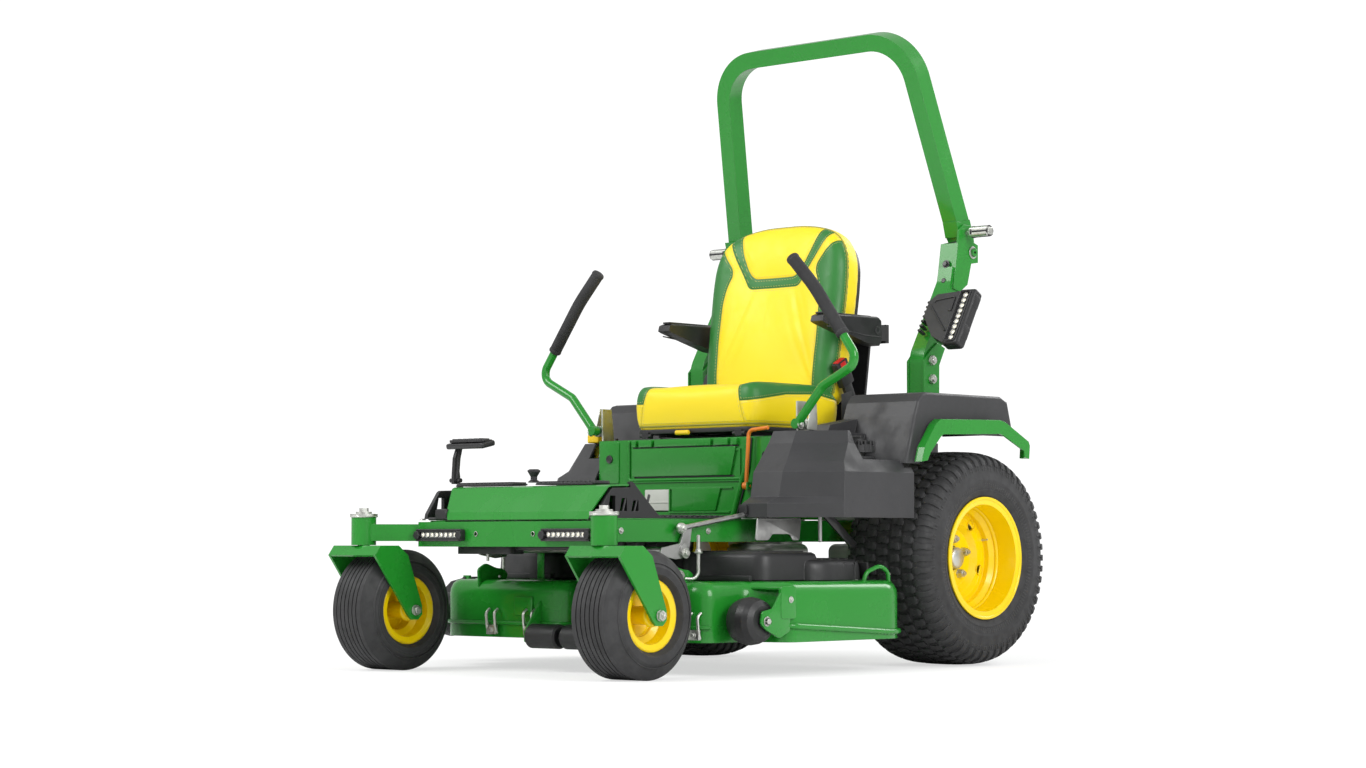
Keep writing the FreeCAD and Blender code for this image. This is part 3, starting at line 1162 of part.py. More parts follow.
def blade(x, y):
    """Blade, its bolt, the spindle shaft and the grooved pulley, turning together."""
    r = "blade_radius"
    plan = [(f"0 - {r} + 3", "0 - 27"), ("0 - 60", "0 - 30"), ("60", "0 - 30"), (f"{r} - 3", "0 - 27"),
            (f"{r} - 3", "27"), ("60", "30"), ("0 - 60", "30"), (f"0 - {r} + 3", "27")]
    bar = padded("XY", plan, "deck_low + 10", "deck_low + 15")
    wings = []
    for sign in (1, -1):
        x0 = "blade_radius - 88" if sign > 0 else "8 - blade_radius"
        y0 = 17 if sign > 0 else -29
        turn = Rotation(Vector(1, 0, 0), 24 * sign)
        wings.append(box(x0, y0, "deck_low + 11" if sign > 0 else "deck_low + 15", 80, 12, 4, turn))
    shaft = rod(0, 0, "deck_low + 8", "z", "spindle_radius", "pulley_high - deck_low - 4")
    bolt = hexagon(0, 0, "deck_low - 2", "z", 15, 12)
    washer = rod(0, 0, "deck_low + 15", "z", 26, "deck_top - 42 - deck_low - 15")
    groove = [("0", "pulley_low"), ("pulley_radius", "pulley_low"), ("pulley_radius - 9", "pulley_low + 6"),
              ("pulley_radius - 9", "pulley_high - 6"), ("pulley_radius", "pulley_high"),
              ("0", "pulley_high")]
    hub = rod(0, 0, "deck_top + 43", "z", 20, 12)
    return place(fuse(bar, *wings, shaft, bolt, washer, turned(groove, "Z"), hub), x, y, 0)


def drive_belt():
    """Belt round the three spindle pulleys, a constant step outside their grooves."""
    corners = [("0 - blade_x", "blade_y"), ("blade_x", "blade_y"), ("0", "centre_blade_y")]
    points = [Vector(number(x), number(y), number("pulley_low + 6.5")) for x, y in corners]
    loop = Part.makePolygon(points + points[:1])
    seat = number("pulley_radius - 8.7")
    inner = Part.Face(loop.makeOffset2D(seat))
    outer = Part.Face(loop.makeOffset2D(seat + 8))
    band = outer.cut(inner).extrude(Vector(0, 0, number("pulley_high - pulley_low - 13")))
    belt = doc.addObject("Part::Feature", "Belt")
    belt.Shape = band
    return belt


def anti_scalp_wheel():
    """Domed plastic wheel with its axle bolt."""
    profile = [("0 - 46", "6.5"), ("0 - 46", "40"), ("0 - 36", "54"), ("0 - 20", "scalp_radius - 3"),
               ("0", "scalp_radius"), ("20", "scalp_radius - 3"), ("36", "54"), ("44", "40"), ("44", "6.5")]
    bolt = [rod("0 - 62", 0, 0, "x", 6, 124), hexagon("0 - 66.5", 0, 0, "x", 10, 6),
            hexagon(57, 0, 0, "x", 10, 8)]
    return place(fuse(turned(profile), *bolt), "scalp_x", "scalp_y", "scalp_z")


def front_roller():
    """Two barrels on one axle."""
    profile = [("0 - 57", "5"), ("0 - 57", "roller_radius - 5"), ("0 - 51", "roller_radius"),
               ("51", "roller_radius"), ("57", "roller_radius - 5"), ("57", "5")]
    barrels = [place(turned(profile), x, 0, 0) for x in (-36, 96)]
    axle = rod(-114, 0, 0, "x", 6, 288)
    middle = rod(-98, 0, 0, "x", 12, 256)
    return place(fuse(*barrels, axle, middle), 0, "roller_y", "roller_z")


def discharge_chute():
    """Hinged deflector over the side opening, with end lips and its hinge rod."""
    edge = "0 - deck_half"
    top = [(f"{edge} - 10", "deck_top + 4"), (f"{edge} - 80", "deck_top - 10"),
           (f"{edge} - 180", "deck_top - 86"),
           (f"{edge} - 180", "deck_top - 94"), (f"{edge} - 82", "deck_top - 15"),
           (f"{edge} - 10", "deck_top - 2")]
    lip = [(f"{edge} - 24", "deck_top - 2"), (f"{edge} - 80", "deck_top - 12"),
           (f"{edge} - 180", "deck_top - 90"),
           (f"{edge} - 180", "deck_top - 116"), (f"{edge} - 90", "deck_top - 76"),
           (f"{edge} - 30", "deck_top - 40")]
    plate = padded("XZ", top, -834, -474)
    lips = [padded("XZ", lip, y, f"{y} + 4") for y in (-834, -478)]
    hinge = rod("0 - deck_half - 8", -852, "deck_top - 1", "y", 5, 396)
    return fuse(plate, *lips, hinge)


def lift_rockers():
    """Bell cranks outside each rail on one cross shaft, which raise the deck's front ears."""
    pivot_y, pivot_z = "rail_front + 328", "rail_low - 22"
    plate = [(f"{pivot_y} - 92", f"{pivot_z} - 14"), (f"{pivot_y} - 86", f"{pivot_z} + 6"),
             (f"{pivot_y} - 14", f"{pivot_z} + 18"), (f"{pivot_y} + 10", f"{pivot_z} + 68"),
             (f"{pivot_y} + 34", f"{pivot_z} + 68"), (f"{pivot_y} + 24", f"{pivot_z} + 10"),
             (f"{pivot_y} + 10", f"{pivot_z} - 20"), (f"{pivot_y} - 30", f"{pivot_z} - 24")]
    crank = padded("YZ", plate, "rail_outer + 8", "rail_outer + 14")
    boss = rod("rail_outer + 3", pivot_y, pivot_z, "x", 17, 16)
    shaft = rod("0 - rail_outer - 10", pivot_y, pivot_z, "x", 9, "2*rail_outer + 20")
    side = fuse(crank, boss)
    return fuse(side, mirror(side), shaft)


def make_deck():
    node(deck_shell(), "deck_shell")
    node(belt_covers(), "belt_covers")
    node(blade("blade_x", "blade_y"), "left_blade")
    node(blade(0, "centre_blade_y"), "centre_blade")
    node(blade("0 - blade_x", "blade_y"), "right_blade")
    node(drive_belt(), "drive_belt")
    wheel = node(anti_scalp_wheel(), "left_anti_scalp_wheel")
    node(mirror(wheel), "right_anti_scalp_wheel")
    node(front_roller(), "front_roller")
    node(discharge_chute(), "discharge_chute")
    node(lift_rockers(), "lift_rockers")


# ---------------------------------------------------------------- checks and files


def check():
    doc.recompute()
    for obj in doc.Objects:
        if "Invalid" in obj.State or "Error" in obj.State:
            raise RuntimeError(f"{obj.Name} did not build: {obj.State}")
    for piece in NODES:
        if piece.Shape.isNull() or not piece.Shape.isValid():
            raise RuntimeError(f"{piece.Label} has no valid shape")


def write():
    os.makedirs("parts", exist_ok=True)
    for piece in NODES:
        piece.Shape.exportStep(f"parts/{piece.Label}.step")


make_wheels()
make_chassis()
make_engine()
make_body()
make_roll_bar()
make_seat()
make_controls()
make_deck()
check()
write()
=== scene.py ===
import json
import math

import bmesh
import bpy
import numpy as np
from mathutils import Matrix, Vector
from mathutils.bvhtree import BVHTree


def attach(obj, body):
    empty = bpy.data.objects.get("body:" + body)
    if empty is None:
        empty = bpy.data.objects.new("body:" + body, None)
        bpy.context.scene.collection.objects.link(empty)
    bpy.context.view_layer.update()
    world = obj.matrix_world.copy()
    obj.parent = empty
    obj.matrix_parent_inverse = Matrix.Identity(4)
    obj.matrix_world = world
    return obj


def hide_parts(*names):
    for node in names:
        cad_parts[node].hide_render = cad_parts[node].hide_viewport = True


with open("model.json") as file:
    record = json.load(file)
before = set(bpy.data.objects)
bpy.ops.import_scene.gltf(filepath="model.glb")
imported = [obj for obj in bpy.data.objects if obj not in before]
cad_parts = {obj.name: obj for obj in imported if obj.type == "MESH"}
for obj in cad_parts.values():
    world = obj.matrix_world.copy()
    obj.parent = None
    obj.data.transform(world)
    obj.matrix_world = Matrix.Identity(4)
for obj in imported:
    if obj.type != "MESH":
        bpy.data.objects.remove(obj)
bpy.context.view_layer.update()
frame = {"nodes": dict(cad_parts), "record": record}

# Zero turn mower, metres. +Z up, ground at z = 0, the mower faces -Y and its left side is +X.
# A form that stands on both sides is written for the left and mirrored.

link_object = bpy.context.scene.collection.objects.link


# --- materials ---


class Surface:
    """One procedural material. Every pattern reads the row frame's own coordinates, in metres."""

    def __init__(self, name, color, rough, metal=0.0):
        self.data = bpy.data.materials.new(name)
        self.data.use_nodes = True
        self.data.diffuse_color = (*color, 1)
        self.tree = self.data.node_tree
        self.shader = self.tree.nodes["Principled BSDF"]
        self.place = self.node("TexCoord").outputs["Object"]
        self.color, self.rough = color, rough
        self.height = self.round = None
        self.set("Metallic", metal)

    def feed(self, socket, item):
        """Gives a socket a number, a colour or vector, or another node's output."""
        if isinstance(item, bpy.types.NodeSocket):
            self.tree.links.new(item, socket)
        else:
            socket.default_value = (*item, 1) if socket.type == "RGBA" else item

    def node(self, kind, inputs=(), **settings):
        """Adds a node; inputs are (socket, item) pairs."""
        made = self.tree.nodes.new("ShaderNode" + kind)
        for key, value in settings.items():
            setattr(made, key, value)
        for socket, item in inputs:
            self.feed(made.inputs[socket], item)
        return made

    def set(self, socket, item):
        self.feed(self.shader.inputs[socket], item)
        return self

    def math(self, operation, first, second):
        return self.node("Math", ((0, first), (1, second)), operation=operation).outputs[0]

    def noise(self, scale, detail, stretch=(1, 1, 1)):
        place = self.node("Mapping", (("Vector", self.place), ("Scale", stretch))).outputs[0]
        inputs = (("Vector", place), ("Scale", scale), ("Detail", detail))
        return self.node("TexNoise", inputs).outputs["Fac"]

    def cells(self, scale):
        return self.node("TexVoronoi", (("Vector", self.place), ("Scale", scale))).outputs["Distance"]

    def ramp(self, source, low, high, start=0.0, stop=1.0):
        sockets = ("Value", "From Min", "From Max", "To Min", "To Max")
        return self.node("MapRange", zip(sockets, (source, low, high, start, stop))).outputs[0]

    def blotches(self, scale, detail, low, high, stop=1.0):
        """A mask of soft clouds."""
        return self.ramp(self.noise(scale, detail), low, high, 0, stop)

    def attribute(self, name):
        """A number stored on the mesh's own points."""
        return self.node("Attribute", attribute_name=name).outputs["Fac"]

    def mix_color(self, color, factor):
        mixed = self.node("Mix", ((0, factor), (6, self.color), (7, color)), data_type="RGBA")
        self.color = mixed.outputs[2]
        return self

    def mix_rough(self, rough, factor):
        mixed = self.node("Mix", ((0, factor), (2, self.rough), (3, rough)), data_type="FLOAT")
        self.rough = mixed.outputs[0]
        return self

    def relief(self, source, depth):
        """Adds a height pattern, in metres, to the bump."""
        scaled = self.math("MULTIPLY", source, depth)
        self.height = self.math("ADD", self.height, scaled) if self.height else scaled
        return self

    def rub_edges(self, radius, color, amount):
        """Rounds hard edges in the shading and rubs a colour along them."""
        self.round = self.node("Bevel", (("Radius", radius),), samples=4).outputs[0]
        flat = self.node("NewGeometry").outputs["Normal"]
        dot = self.node("VectorMath", ((0, self.round), (1, flat)), operation="DOT_PRODUCT")
        return self.mix_color(color, self.ramp(dot.outputs["Value"], 0.995, 0.80, 0, amount))

    def done(self):
        self.set("Base Color", self.color).set("Roughness", self.rough)
        normal = self.round
        if self.height:
            inputs = [("Strength", 1.0), ("Distance", 1.0), ("Height", self.height)]
            inputs += [("Normal", self.round)] if self.round else []
            normal = self.node("Bump", inputs).outputs[0]
        if normal:
            self.set("Normal", normal)
        return self.data


def shade(color, factor, lift=0.0):
    return tuple(channel * factor + lift for channel in color)


def enamel(name, color, rough=0.24):
    """Baked enamel: faint orange peel, a clear top, slightly rubbed edges and a little dust."""
    made = Surface(name, color, rough)
    made.mix_color(shade(color, 0.9), made.blotches(2.5, 2, 0.4, 0.7, 0.5))
    made.rub_edges(0.0022, shade(color, 0.6, 0.22), 0.15)
    made.mix_rough(rough + 0.10, made.blotches(9, 4, 0.5, 0.75))
    made.relief(made.noise(360, 2), 0.00004).relief(made.noise(20, 2), 0.00012)
    made.set("Coat Weight", 0.3).set("Coat Roughness", 0.06).set("Specular IOR Level", 0.35)
    return made.done()


def moulding(name, color, rough, grain=900, depth=0.00009):
    """Moulded plastic with a leather-like grain, paler along its edges."""
    made = Surface(name, color, rough)
    made.mix_color(shade(color, 1.35), made.blotches(5, 4, 0.42, 0.7, 0.5))
    made.rub_edges(0.002, shade(color, 1, 0.09), 0.6)
    made.mix_rough(rough + 0.18, made.blotches(18, 4, 0.45, 0.7))
    made.relief(made.cells(grain), depth).relief(made.noise(grain * 0.35, 3), depth)
    return made.done()


def rubber(name):
    """Matt rubber with dusty edges and a fine, uneven skin."""
    made = Surface(name, BLACK, 0.62)
    made.mix_color(shade(BLACK, 2.1), made.blotches(9, 5, 0.45, 0.72, 0.6))
    made.rub_edges(0.0016, (0.12, 0.12, 0.118), 0.45)
    made.mix_rough(0.82, made.blotches(40, 3, 0.4, 0.7))
    made.relief(made.noise(650, 3), 0.00018).relief(made.noise(60, 3), 0.0003)
    return made.done()


def plated(name, color, rough):
    """Zinc or bright steel with fine brushing and a clouded tint."""
    made = Surface(name, color, rough, metal=1.0)
    made.mix_color(shade(color, 0.72), made.blotches(30, 4, 0.4, 0.68, 0.35))
    made.rub_edges(0.0012, shade(color, 1.2), 0.5)
    made.mix_rough(rough + 0.22, made.blotches(70, 4, 0.4, 0.7))
    made.relief(made.noise(300, 2, (1, 1, 14)), 0.00005)
    return made.done()


def casting(name):
    """Sand-cast aluminium: mottled, with bright edges and a coarse skin."""
    made = Surface(name, ALUMINIUM, 0.5, metal=0.85)
    made.mix_color(shade(ALUMINIUM, 0.6), made.blotches(14, 5, 0.42, 0.7, 0.7))
    made.rub_edges(0.0025, shade(ALUMINIUM, 1.35), 0.6)
    made.relief(made.noise(380, 3), 0.0003)
    return made.done()


def vinyl(name, color):
    """Padded seat vinyl in two colours. The mesh's own "panel" number is above zero on the green
    panels, and "seam" is the distance to the nearest seam, where the cover sinks and is stitched."""
    made = Surface(name, SEAT_YELLOW, 0.42)
    made.data.diffuse_color = (*color, 1)
    seam = made.attribute("seam")
    made.mix_color(SEAT_GREEN, made.ramp(made.attribute("panel"), -0.0004, 0.0004))
    # Painted shade: the cover is darkened towards each seam, where it sinks into a crease.
    made.mix_color((0.02, 0.02, 0.015), made.ramp(seam, 0.0028, 0.0006, 0, 0.45))
    row = made.ramp(made.math("ABSOLUTE", made.math("SUBTRACT", seam, 0.0062), 0), 0.0011, 0.0006)
    waves = made.node("TexWave", (("Vector", made.place), ("Scale", 62)), bands_direction="DIAGONAL")
    thread = made.math("MULTIPLY", row, made.ramp(waves.outputs["Fac"], 0.35, 0.45))
    made.mix_color((0.62, 0.55, 0.16), made.math("MULTIPLY", thread, 0.7))
    made.mix_rough(0.58, made.blotches(22, 4, 0.42, 0.7))
    made.relief(made.cells(620), 0.00012).relief(made.noise(70, 3), 0.0003)
    made.relief(made.ramp(seam, 0.0, 0.007), 0.0016).relief(thread, 0.0006)
    made.set("Sheen Weight", 0.03).set("Coat Weight", 0.05).set("Coat Roughness", 0.3)
    return made.done()


def diode(name):
    """A lit diode behind a clear lens, with a brighter heart."""
    made = Surface(name, WARM_WHITE, 0.12)
    made.mix_color((1.0, 0.95, 0.8), made.ramp(made.cells(90), 0.3, 0.0))
    made.relief(made.noise(500, 1), 0.00005)
    made.set("Emission Color", WARM_WHITE).set("Emission Strength", 0.35).set("Coat Weight", 1.0)
    return made.done()


GREEN = (0.014, 0.235, 0.020)
YELLOW = (0.90, 0.64, 0.0)
SEAT_YELLOW = (0.92, 0.70, 0.0)
SEAT_GREEN = (0.016, 0.170, 0.022)
BLACK = (0.022, 0.022, 0.023)
ALUMINIUM = (0.48, 0.48, 0.46)
WARM_WHITE = (0.92, 0.88, 0.72)

MATERIALS = {
    "green_paint": enamel("green_enamel", GREEN),
    "yellow_paint": enamel("yellow_enamel", YELLOW, 0.26),
    "black_paint": enamel("black_enamel", (0.016, 0.016, 0.017), 0.35),
    "orange_paint": enamel("orange_enamel", (0.72, 0.20, 0.02)),
    "steel": plated("machined_steel", (0.50, 0.50, 0.49), 0.34),
    "zinc": plated("zinc_plate", (0.60, 0.61, 0.57), 0.36),
    "aluminium_casting": casting("cast_aluminium"),
    "tyre_rubber": rubber("tyre_rubber"),
    "grey_plastic": moulding("grey_moulding", (0.028, 0.028, 0.030), 0.46),
    "black_plastic": moulding("black_moulding", (0.013, 0.013, 0.014), 0.42),
    "tank_plastic": moulding("tank_plastic", (0.62, 0.62, 0.58), 0.4),
    "yellow_plastic": moulding("yellow_moulding", (0.86, 0.58, 0.01), 0.3),
    "foam": moulding("grip_foam", BLACK, 0.75, 1400, 0.0002),
    "belt_rubber": rubber("belt_rubber"),
    "yellow_vinyl": vinyl("yellow_vinyl", SEAT_YELLOW),
    "green_vinyl": vinyl("green_vinyl", SEAT_GREEN),
    "red_plastic": moulding("red_moulding", (0.55, 0.01, 0.01), 0.3),
    "lamp_glass": diode("lamp_diode"),
}


def dress_frame():
    """Gives every CAD piece its finish, by the record's own slot names."""
    for part in frame["record"]["subparts"]:
        mesh = frame["nodes"][part["node"]].data
        mesh.materials.clear()
        mesh.materials.append(MATERIALS[part["material_slot"]])


dress_frame()


# --- mesh tools ---

AXES = {
    "x": Vector((1, 0, 0)),
    "y": Vector((0, 1, 0)),
    "z": Vector((0, 0, 1)),
    "front": Vector((0, -1, 0)),
    "inside": Vector((-1, 0, 0)),
}
PLANES = {
    "xy": lambda u, v, w: (u, v, w),
    "xz": lambda u, v, w: (u, w, v),
    "yz": lambda u, v, w: (w, u, v),
}


def along(axis):
    """A turn that takes Z to the axis, which is a name or a direction."""
    direction = AXES[axis] if isinstance(axis, str) else Vector(axis).normalized()
    return direction.to_track_quat("Z", "Y").to_matrix().to_4x4()


def circle(centre, radius, steps=24, start=0.0):
    """Points evenly round a centre, from a start angle in degrees."""
    turns = [math.radians(start) + 2 * math.pi * i / steps for i in range(steps)]
    return [(centre[0] + radius * math.cos(t), centre[1] + radius * math.sin(t)) for t in turns]


def rectangle(u0, v0, u1, v1):
    return [(u0, v0), (u1, v0), (u1, v1), (u0, v1)]


def corner_curve(before, corner, after, radius, steps):
    """A corner of a path as a short curve that starts and ends at most a radius away from it."""
    back, ahead = before - corner, after - corner
    reach = min(radius, back.length * 0.48, ahead.length * 0.48)
    start = corner + back.normalized() * reach
    stop = corner + ahead.normalized() * reach
    shares = [i / steps for i in range(steps + 1)]
    return [start * (1 - t) ** 2 + corner * 2 * t * (1 - t) + stop * t ** 2 for t in shares]


def rounded_path(corners, bend):
    """An open path with rounded corners."""
    path = [corners[0]]
    for before, corner, after in zip(corners, corners[1:], corners[2:]):
        path += corner_curve(before, corner, after, bend, 6)
    return path + [corners[-1]]


def softened(corners, radius, steps=5):
    """A closed outline with rounded corners."""
    points = [Vector(corner) for corner in corners]
    following = points[1:] + points[:1]
    path = []
    for i, point in enumerate(points):
        path += corner_curve(points[i - 1], point, following[i], radius, steps)
    return [(point.x, point.y) for point in path]


def both_halves(half):
    return half + [(-u, v) for u, v in reversed(half)]


def offset(outline, grow):
    """Moves every point of a closed outline along its own outward direction."""
    following = outline[1:] + outline[:1]
    area = sum(a[0] * b[1] - b[0] * a[1] for a, b in zip(outline, following))
    step = grow if area > 0 else -grow
    moved = []
    for i, (u, v) in enumerate(outline):
        ahead = (Vector(following[i]) - Vector(outline[i - 1])).normalized()
        moved.append((u + ahead.y * step, v - ahead.x * step))
    return moved


def stack_faces(rings, count):
    """Faces that close a stack of rings of equal count, with a cap at either end."""
    faces = []
    for row in range(0, (rings - 1) * count, count):
        for k in range(count):
            m = (k + 1) % count
            faces.append((row + k, row + m, row + count + m, row + count + k))
    last = (rings - 1) * count
    return faces + [tuple(range(count))[::-1], tuple(range(last, last + count))]


def new_object(name, points, faces):
    mesh = bpy.data.meshes.new(name)
    mesh.from_pydata([tuple(point) for point in points], [], faces)
    obj = bpy.data.objects.new(name, mesh)
    link_object(obj)
    return obj


class Shape:
    """Collects closed forms of one finish, and turns them into a piece. Each call returns the shape."""

    def __init__(self):
        self.points = []
        self.faces = []

    def add(self, points, faces, matrix=None):
        first = len(self.points)
        moved = [Vector(point) for point in points]
        self.points += [matrix @ point for point in moved] if matrix else moved
        self.faces += [tuple(first + i for i in face) for face in faces]
        return self

    def lathe(self, profile, centre=(0, 0, 0), axis="z", steps=32):
        """Turns (along, radius) points about an axis, and closes the last one back to the first."""
        points, rows = [], []
        for height, radius in profile:
            count = steps if radius else 1
            rows.append([len(points) + i % count for i in range(steps)])
            points += [(x, y, height) for x, y in circle((0, 0), radius, count)]
        faces = []
        for low, high in zip(rows, rows[1:] + rows[:1]):
            if len(set(low + high)) > 2:
                for i in range(steps):
                    j = (i + 1) % steps
                    faces.append(tuple(dict.fromkeys((low[i], low[j], high[j], high[i]))))
        return self.add(points, faces, Matrix.Translation(centre) @ along(axis))

    def turned(self, profile, centre, axis="z", steps=32):
        """Turns an open (along, radius) profile and closes it flat at both ends."""
        closed = [(profile[0][0], 0), *profile, (profile[-1][0], 0)]
        return self.lathe(closed, centre, axis, steps)

    def tube(self, path, radius, sides=10, bend=0.0):
        """A round bar along a path, its corners rounded, with domed ends."""
        centres = [Vector(point) for point in path]
        if bend:
            centres = rounded_path(centres, bend)
        rings = []
        normal = None
        for i, centre in enumerate(centres):
            ahead = (centres[min(i + 1, len(centres) - 1)] - centres[max(i - 1, 0)]).normalized()
            normal = normal or ahead.orthogonal()
            normal = (normal - ahead * normal.dot(ahead)).normalized()
            rings.append((centre, normal, ahead.cross(normal), ahead, radius))
        domes = []
        for (centre, normal, across, ahead, _), sign in ((rings[0], -1), (rings[-1], 1)):
            domes.append((centre + ahead * radius * 0.35 * sign, normal, across, ahead, radius * 0.6))
        rings = [domes[0], *rings, domes[1]]
        points = []
        for centre, normal, across, _, size in rings:
            points += [centre + normal * u + across * v for u, v in circle((0, 0), size, sides)]
        return self.add(points, stack_faces(len(rings), sides))

    def stacked(self, rings):
        """Closes a stack of outlines of equal length; each ring is (outline, height)."""
        points = [(u, v, height) for outline, height in rings for u, v in outline]
        return self.add(points, stack_faces(len(rings), len(rings[0][0])))

    def prism(self, outline, plane, low, high, bevel=0.0015, matrix=None):
        """An outline given a thickness along the plane's third axis, with rounded edges."""
        form = bmesh.new()
        points = [PLANES[plane](u, v, w) for w in (low, high) for u, v in outline]
        corners = [form.verts.new(point) for point in points]
        for face in stack_faces(2, len(outline)):
            form.faces.new([corners[i] for i in face])
        bmesh.ops.recalc_face_normals(form, faces=form.faces)
        if bevel:
            bmesh.ops.bevel(form, geom=form.edges[:], offset=bevel, segments=2, affect="EDGES",
                            profile=0.6, clamp_overlap=True)
        form.verts.index_update()
        faces = [[corner.index for corner in face.verts] for face in form.faces]
        self.add([corner.co for corner in form.verts], faces, matrix)
        form.free()
        return self

    def plate(self, corners, radius, plane, low, high, bevel=0.0015):
        """A prism whose corners are rounded to a radius."""
        return self.prism(softened(corners, radius), plane, low, high, bevel)

    def block(self, low, high, bevel=0.0015, matrix=None):
        return self.prism(rectangle(*low[:2], *high[:2]), "xy", low[2], high[2], bevel, matrix)

    def bolt(self, centre, axis, radius, height=None):
        """A hex head with a chamfer on a washer; its shank goes back into the part."""
        height = height or radius * 1.1
        wide = radius * 1.45
        thin = radius * 0.22
        washer = [(-thin, wide * 0.9), (thin, wide), (thin * 1.6, wide * 0.95)]
        head = [(0, radius), (height * 0.8, radius), (height, radius * 0.82)]
        return self.turned(washer, centre, axis, 20).turned(head, centre, axis, 6)

    def flipped(self):
        """The same forms on the machine's other side, as a new shape."""
        return Shape().add([(-p.x, p.y, p.z) for p in self.points], [face[::-1] for face in self.faces])

    def mirror(self):
        """Adds the same forms on the machine's other side."""
        return self.join(self.flipped())

    def join(self, other):
        return self.add(other.points, other.faces)

    def piece(self, name, body, slot, *replaces, angle=35):
        """Makes the piece, gives it its finish, and lets it ride on a body."""
        obj = new_object(name, self.points, self.faces)
        form = bmesh.new()
        form.from_mesh(obj.data)
        bmesh.ops.recalc_face_normals(form, faces=form.faces)
        form.to_mesh(obj.data)
        form.free()
        obj.data.shade_smooth()
        obj.data.set_sharp_from_angle(angle=math.radians(angle))
        obj.data.materials.append(MATERIALS[slot])
        return settle(obj, body, slot, *replaces)

    def pair(self, name, body, slot, *replaces, angle=35):
        """Makes this left piece and its mirror image; each takes its side's name, body and CAD piece."""
        for side, shape in (("left_", self), ("right_", self.flipped())):
            shape.piece(side + name, side + body, slot, *[side + node for node in replaces], angle=angle)


def settle(obj, body, slot, *replaces):
    """Lets a made object ride on its body, in place of the CAD pieces named."""
    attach(obj, body)
    if replaces:
        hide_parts(*replaces)
    return obj


# --- drive tyres ---

DRIVE_CENTRE = Vector((0.482, 0, 0.305))
CARCASS = [(0.0, 0.2975), (0.03, 0.2972), (0.06, 0.2962), (0.085, 0.2945), (0.105, 0.2915), (0.12, 0.2865),
           (0.131, 0.279), (0.138, 0.269), (0.142, 0.257), (0.1445, 0.243), (0.1455, 0.228)]
WALL = [(0.147, 0.224), (0.1472, 0.219), (0.145, 0.215), (0.144, 0.205), (0.1415, 0.1965), (0.1425, 0.194),
        (0.1405, 0.1905), (0.1375, 0.183), (0.1345, 0.1765), (0.131, 0.1725), (0.124, 0.1725)]
BEAD_RADIUS = 0.176
PITCHES = 54
COLUMN = 0.0415
SKEW = 0.0016 / 0.0185
BLOCK_ROOT, BLOCK_CHAMFER, BLOCK_SHOULDER = -0.004, 0.0013, 0.0016
SERRATIONS = 132
TREAD_RADIUS = 0.298

# Half widths of the tread forms, against the distance along the carcass.
BONE_HALF = [(0.0, 0.0082), (0.0085, 0.0112), (0.015, 0.0105), (0.0185, 0.007)]
BONE = [(-s, w) for s, w in BONE_HALF[:0:-1]] + BONE_HALF
LUG = [(0.1005, 0.0068), (0.1045, 0.0104), (0.112, 0.0112), (0.119, 0.0084), (0.127, 0.0078), (0.135, 0.0085),
       (0.144, 0.0098), (0.154, 0.0092)]
RIB = [(0.15, 0.003), (0.158, 0.0034), (0.168, 0.003)]


def tyre_point(half, radius, turn):
    """A point of the left drive tyre, from its distance to the middle plane, radius and angle."""
    return DRIVE_CENTRE + Vector((half, radius * math.sin(turn), radius * math.cos(turn)))


def carcass_at(distance):
    """Half width, radius and outward direction at a distance along the carcass from the crown."""
    side = 1 if distance >= 0 else -1
    left = abs(distance)
    for (h0, r0), (h1, r1) in zip(CARCASS, CARCASS[1:]):
        length = math.hypot(h1 - h0, r1 - r0)
        if left <= length or (h1, r1) == CARCASS[-1]:
            share = left / length
            half, radius = h0 + (h1 - h0) * share, r0 + (r1 - r0) * share
            return side * half, radius, Vector((side * (r0 - r1) / length, (h1 - h0) / length))
        left -= length


def tread_block(shape, stations, middle, height):
    """One tread block: stations give distance along the carcass, shift and half width round it."""
    points = []
    last = len(stations) - 1
    for i, (distance, shift, wide) in enumerate(stations):
        half, radius, out = carcass_at(distance)
        top = height - (BLOCK_CHAMFER if i in (0, last) else 0)
        left = [(-wide, BLOCK_ROOT), (-wide, height - BLOCK_SHOULDER), (BLOCK_CHAMFER - wide, top)]
        for across, rise in both_halves(left):
            turn = middle + (shift + across) / TREAD_RADIUS
            points.append(tyre_point(half + out.x * rise, radius + out.y * rise, turn))
    shape.add(points, stack_faces(last + 1, 6))


def drive_tyre():
    """Turf tyre: rounded carcass with sidewall rings, staggered bone blocks and shoulder lugs."""
    half = CARCASS + WALL
    ring = half + [(0.0, BEAD_RADIUS)] + [(-h, r) for h, r in reversed(half[1:])]
    shape = Shape().lathe(ring, DRIVE_CENTRE, "x", 108)
    step = 2 * math.pi / PITCHES
    for i in range(PITCHES):
        for column in range(-2, 3):
            skew = SKEW * (1 if (i + column) % 2 else -1)
            stations = [(column * COLUMN + s, skew * s, w) for s, w in BONE]
            tread_block(shape, stations, step * (i + 0.5 * (column % 2)), 0.0066)
        for side in (1, -1):
            tread_block(shape, [(side * s, 0, w) for s, w in LUG], step * (i + 0.5), 0.0062)
            for shift in (-0.0055, 0.0055):
                tread_block(shape, [(side * s, shift, w) for s, w in RIB], step * (i + 0.5), 0.003)
    return shape


def serrations(shape):
    """The fine radial band moulded beside the rim."""
    tooth = [(-0.0016, -0.001), (-0.0009, 0.0011), (0.0009, 0.0011), (0.0016, -0.001)]
    for side in (1, -1):
        for i in range(SERRATIONS):
            turn = 2 * math.pi * i / SERRATIONS
            points = []
            for radius, half in ((0.1995, 0.1428), (0.212, 0.1448)):
                points += [tyre_point(side * (half + rise), radius, turn + across / radius)
                           for across, rise in tooth]
            shape.add(points, stack_faces(2, len(tooth)))


def build_drive_tyres():
    shape = drive_tyre()
    serrations(shape)
    shape.pair("drive_tread", "drive_wheel", "tyre_rubber", "drive_tyre", angle=40)


build_drive_tyres()


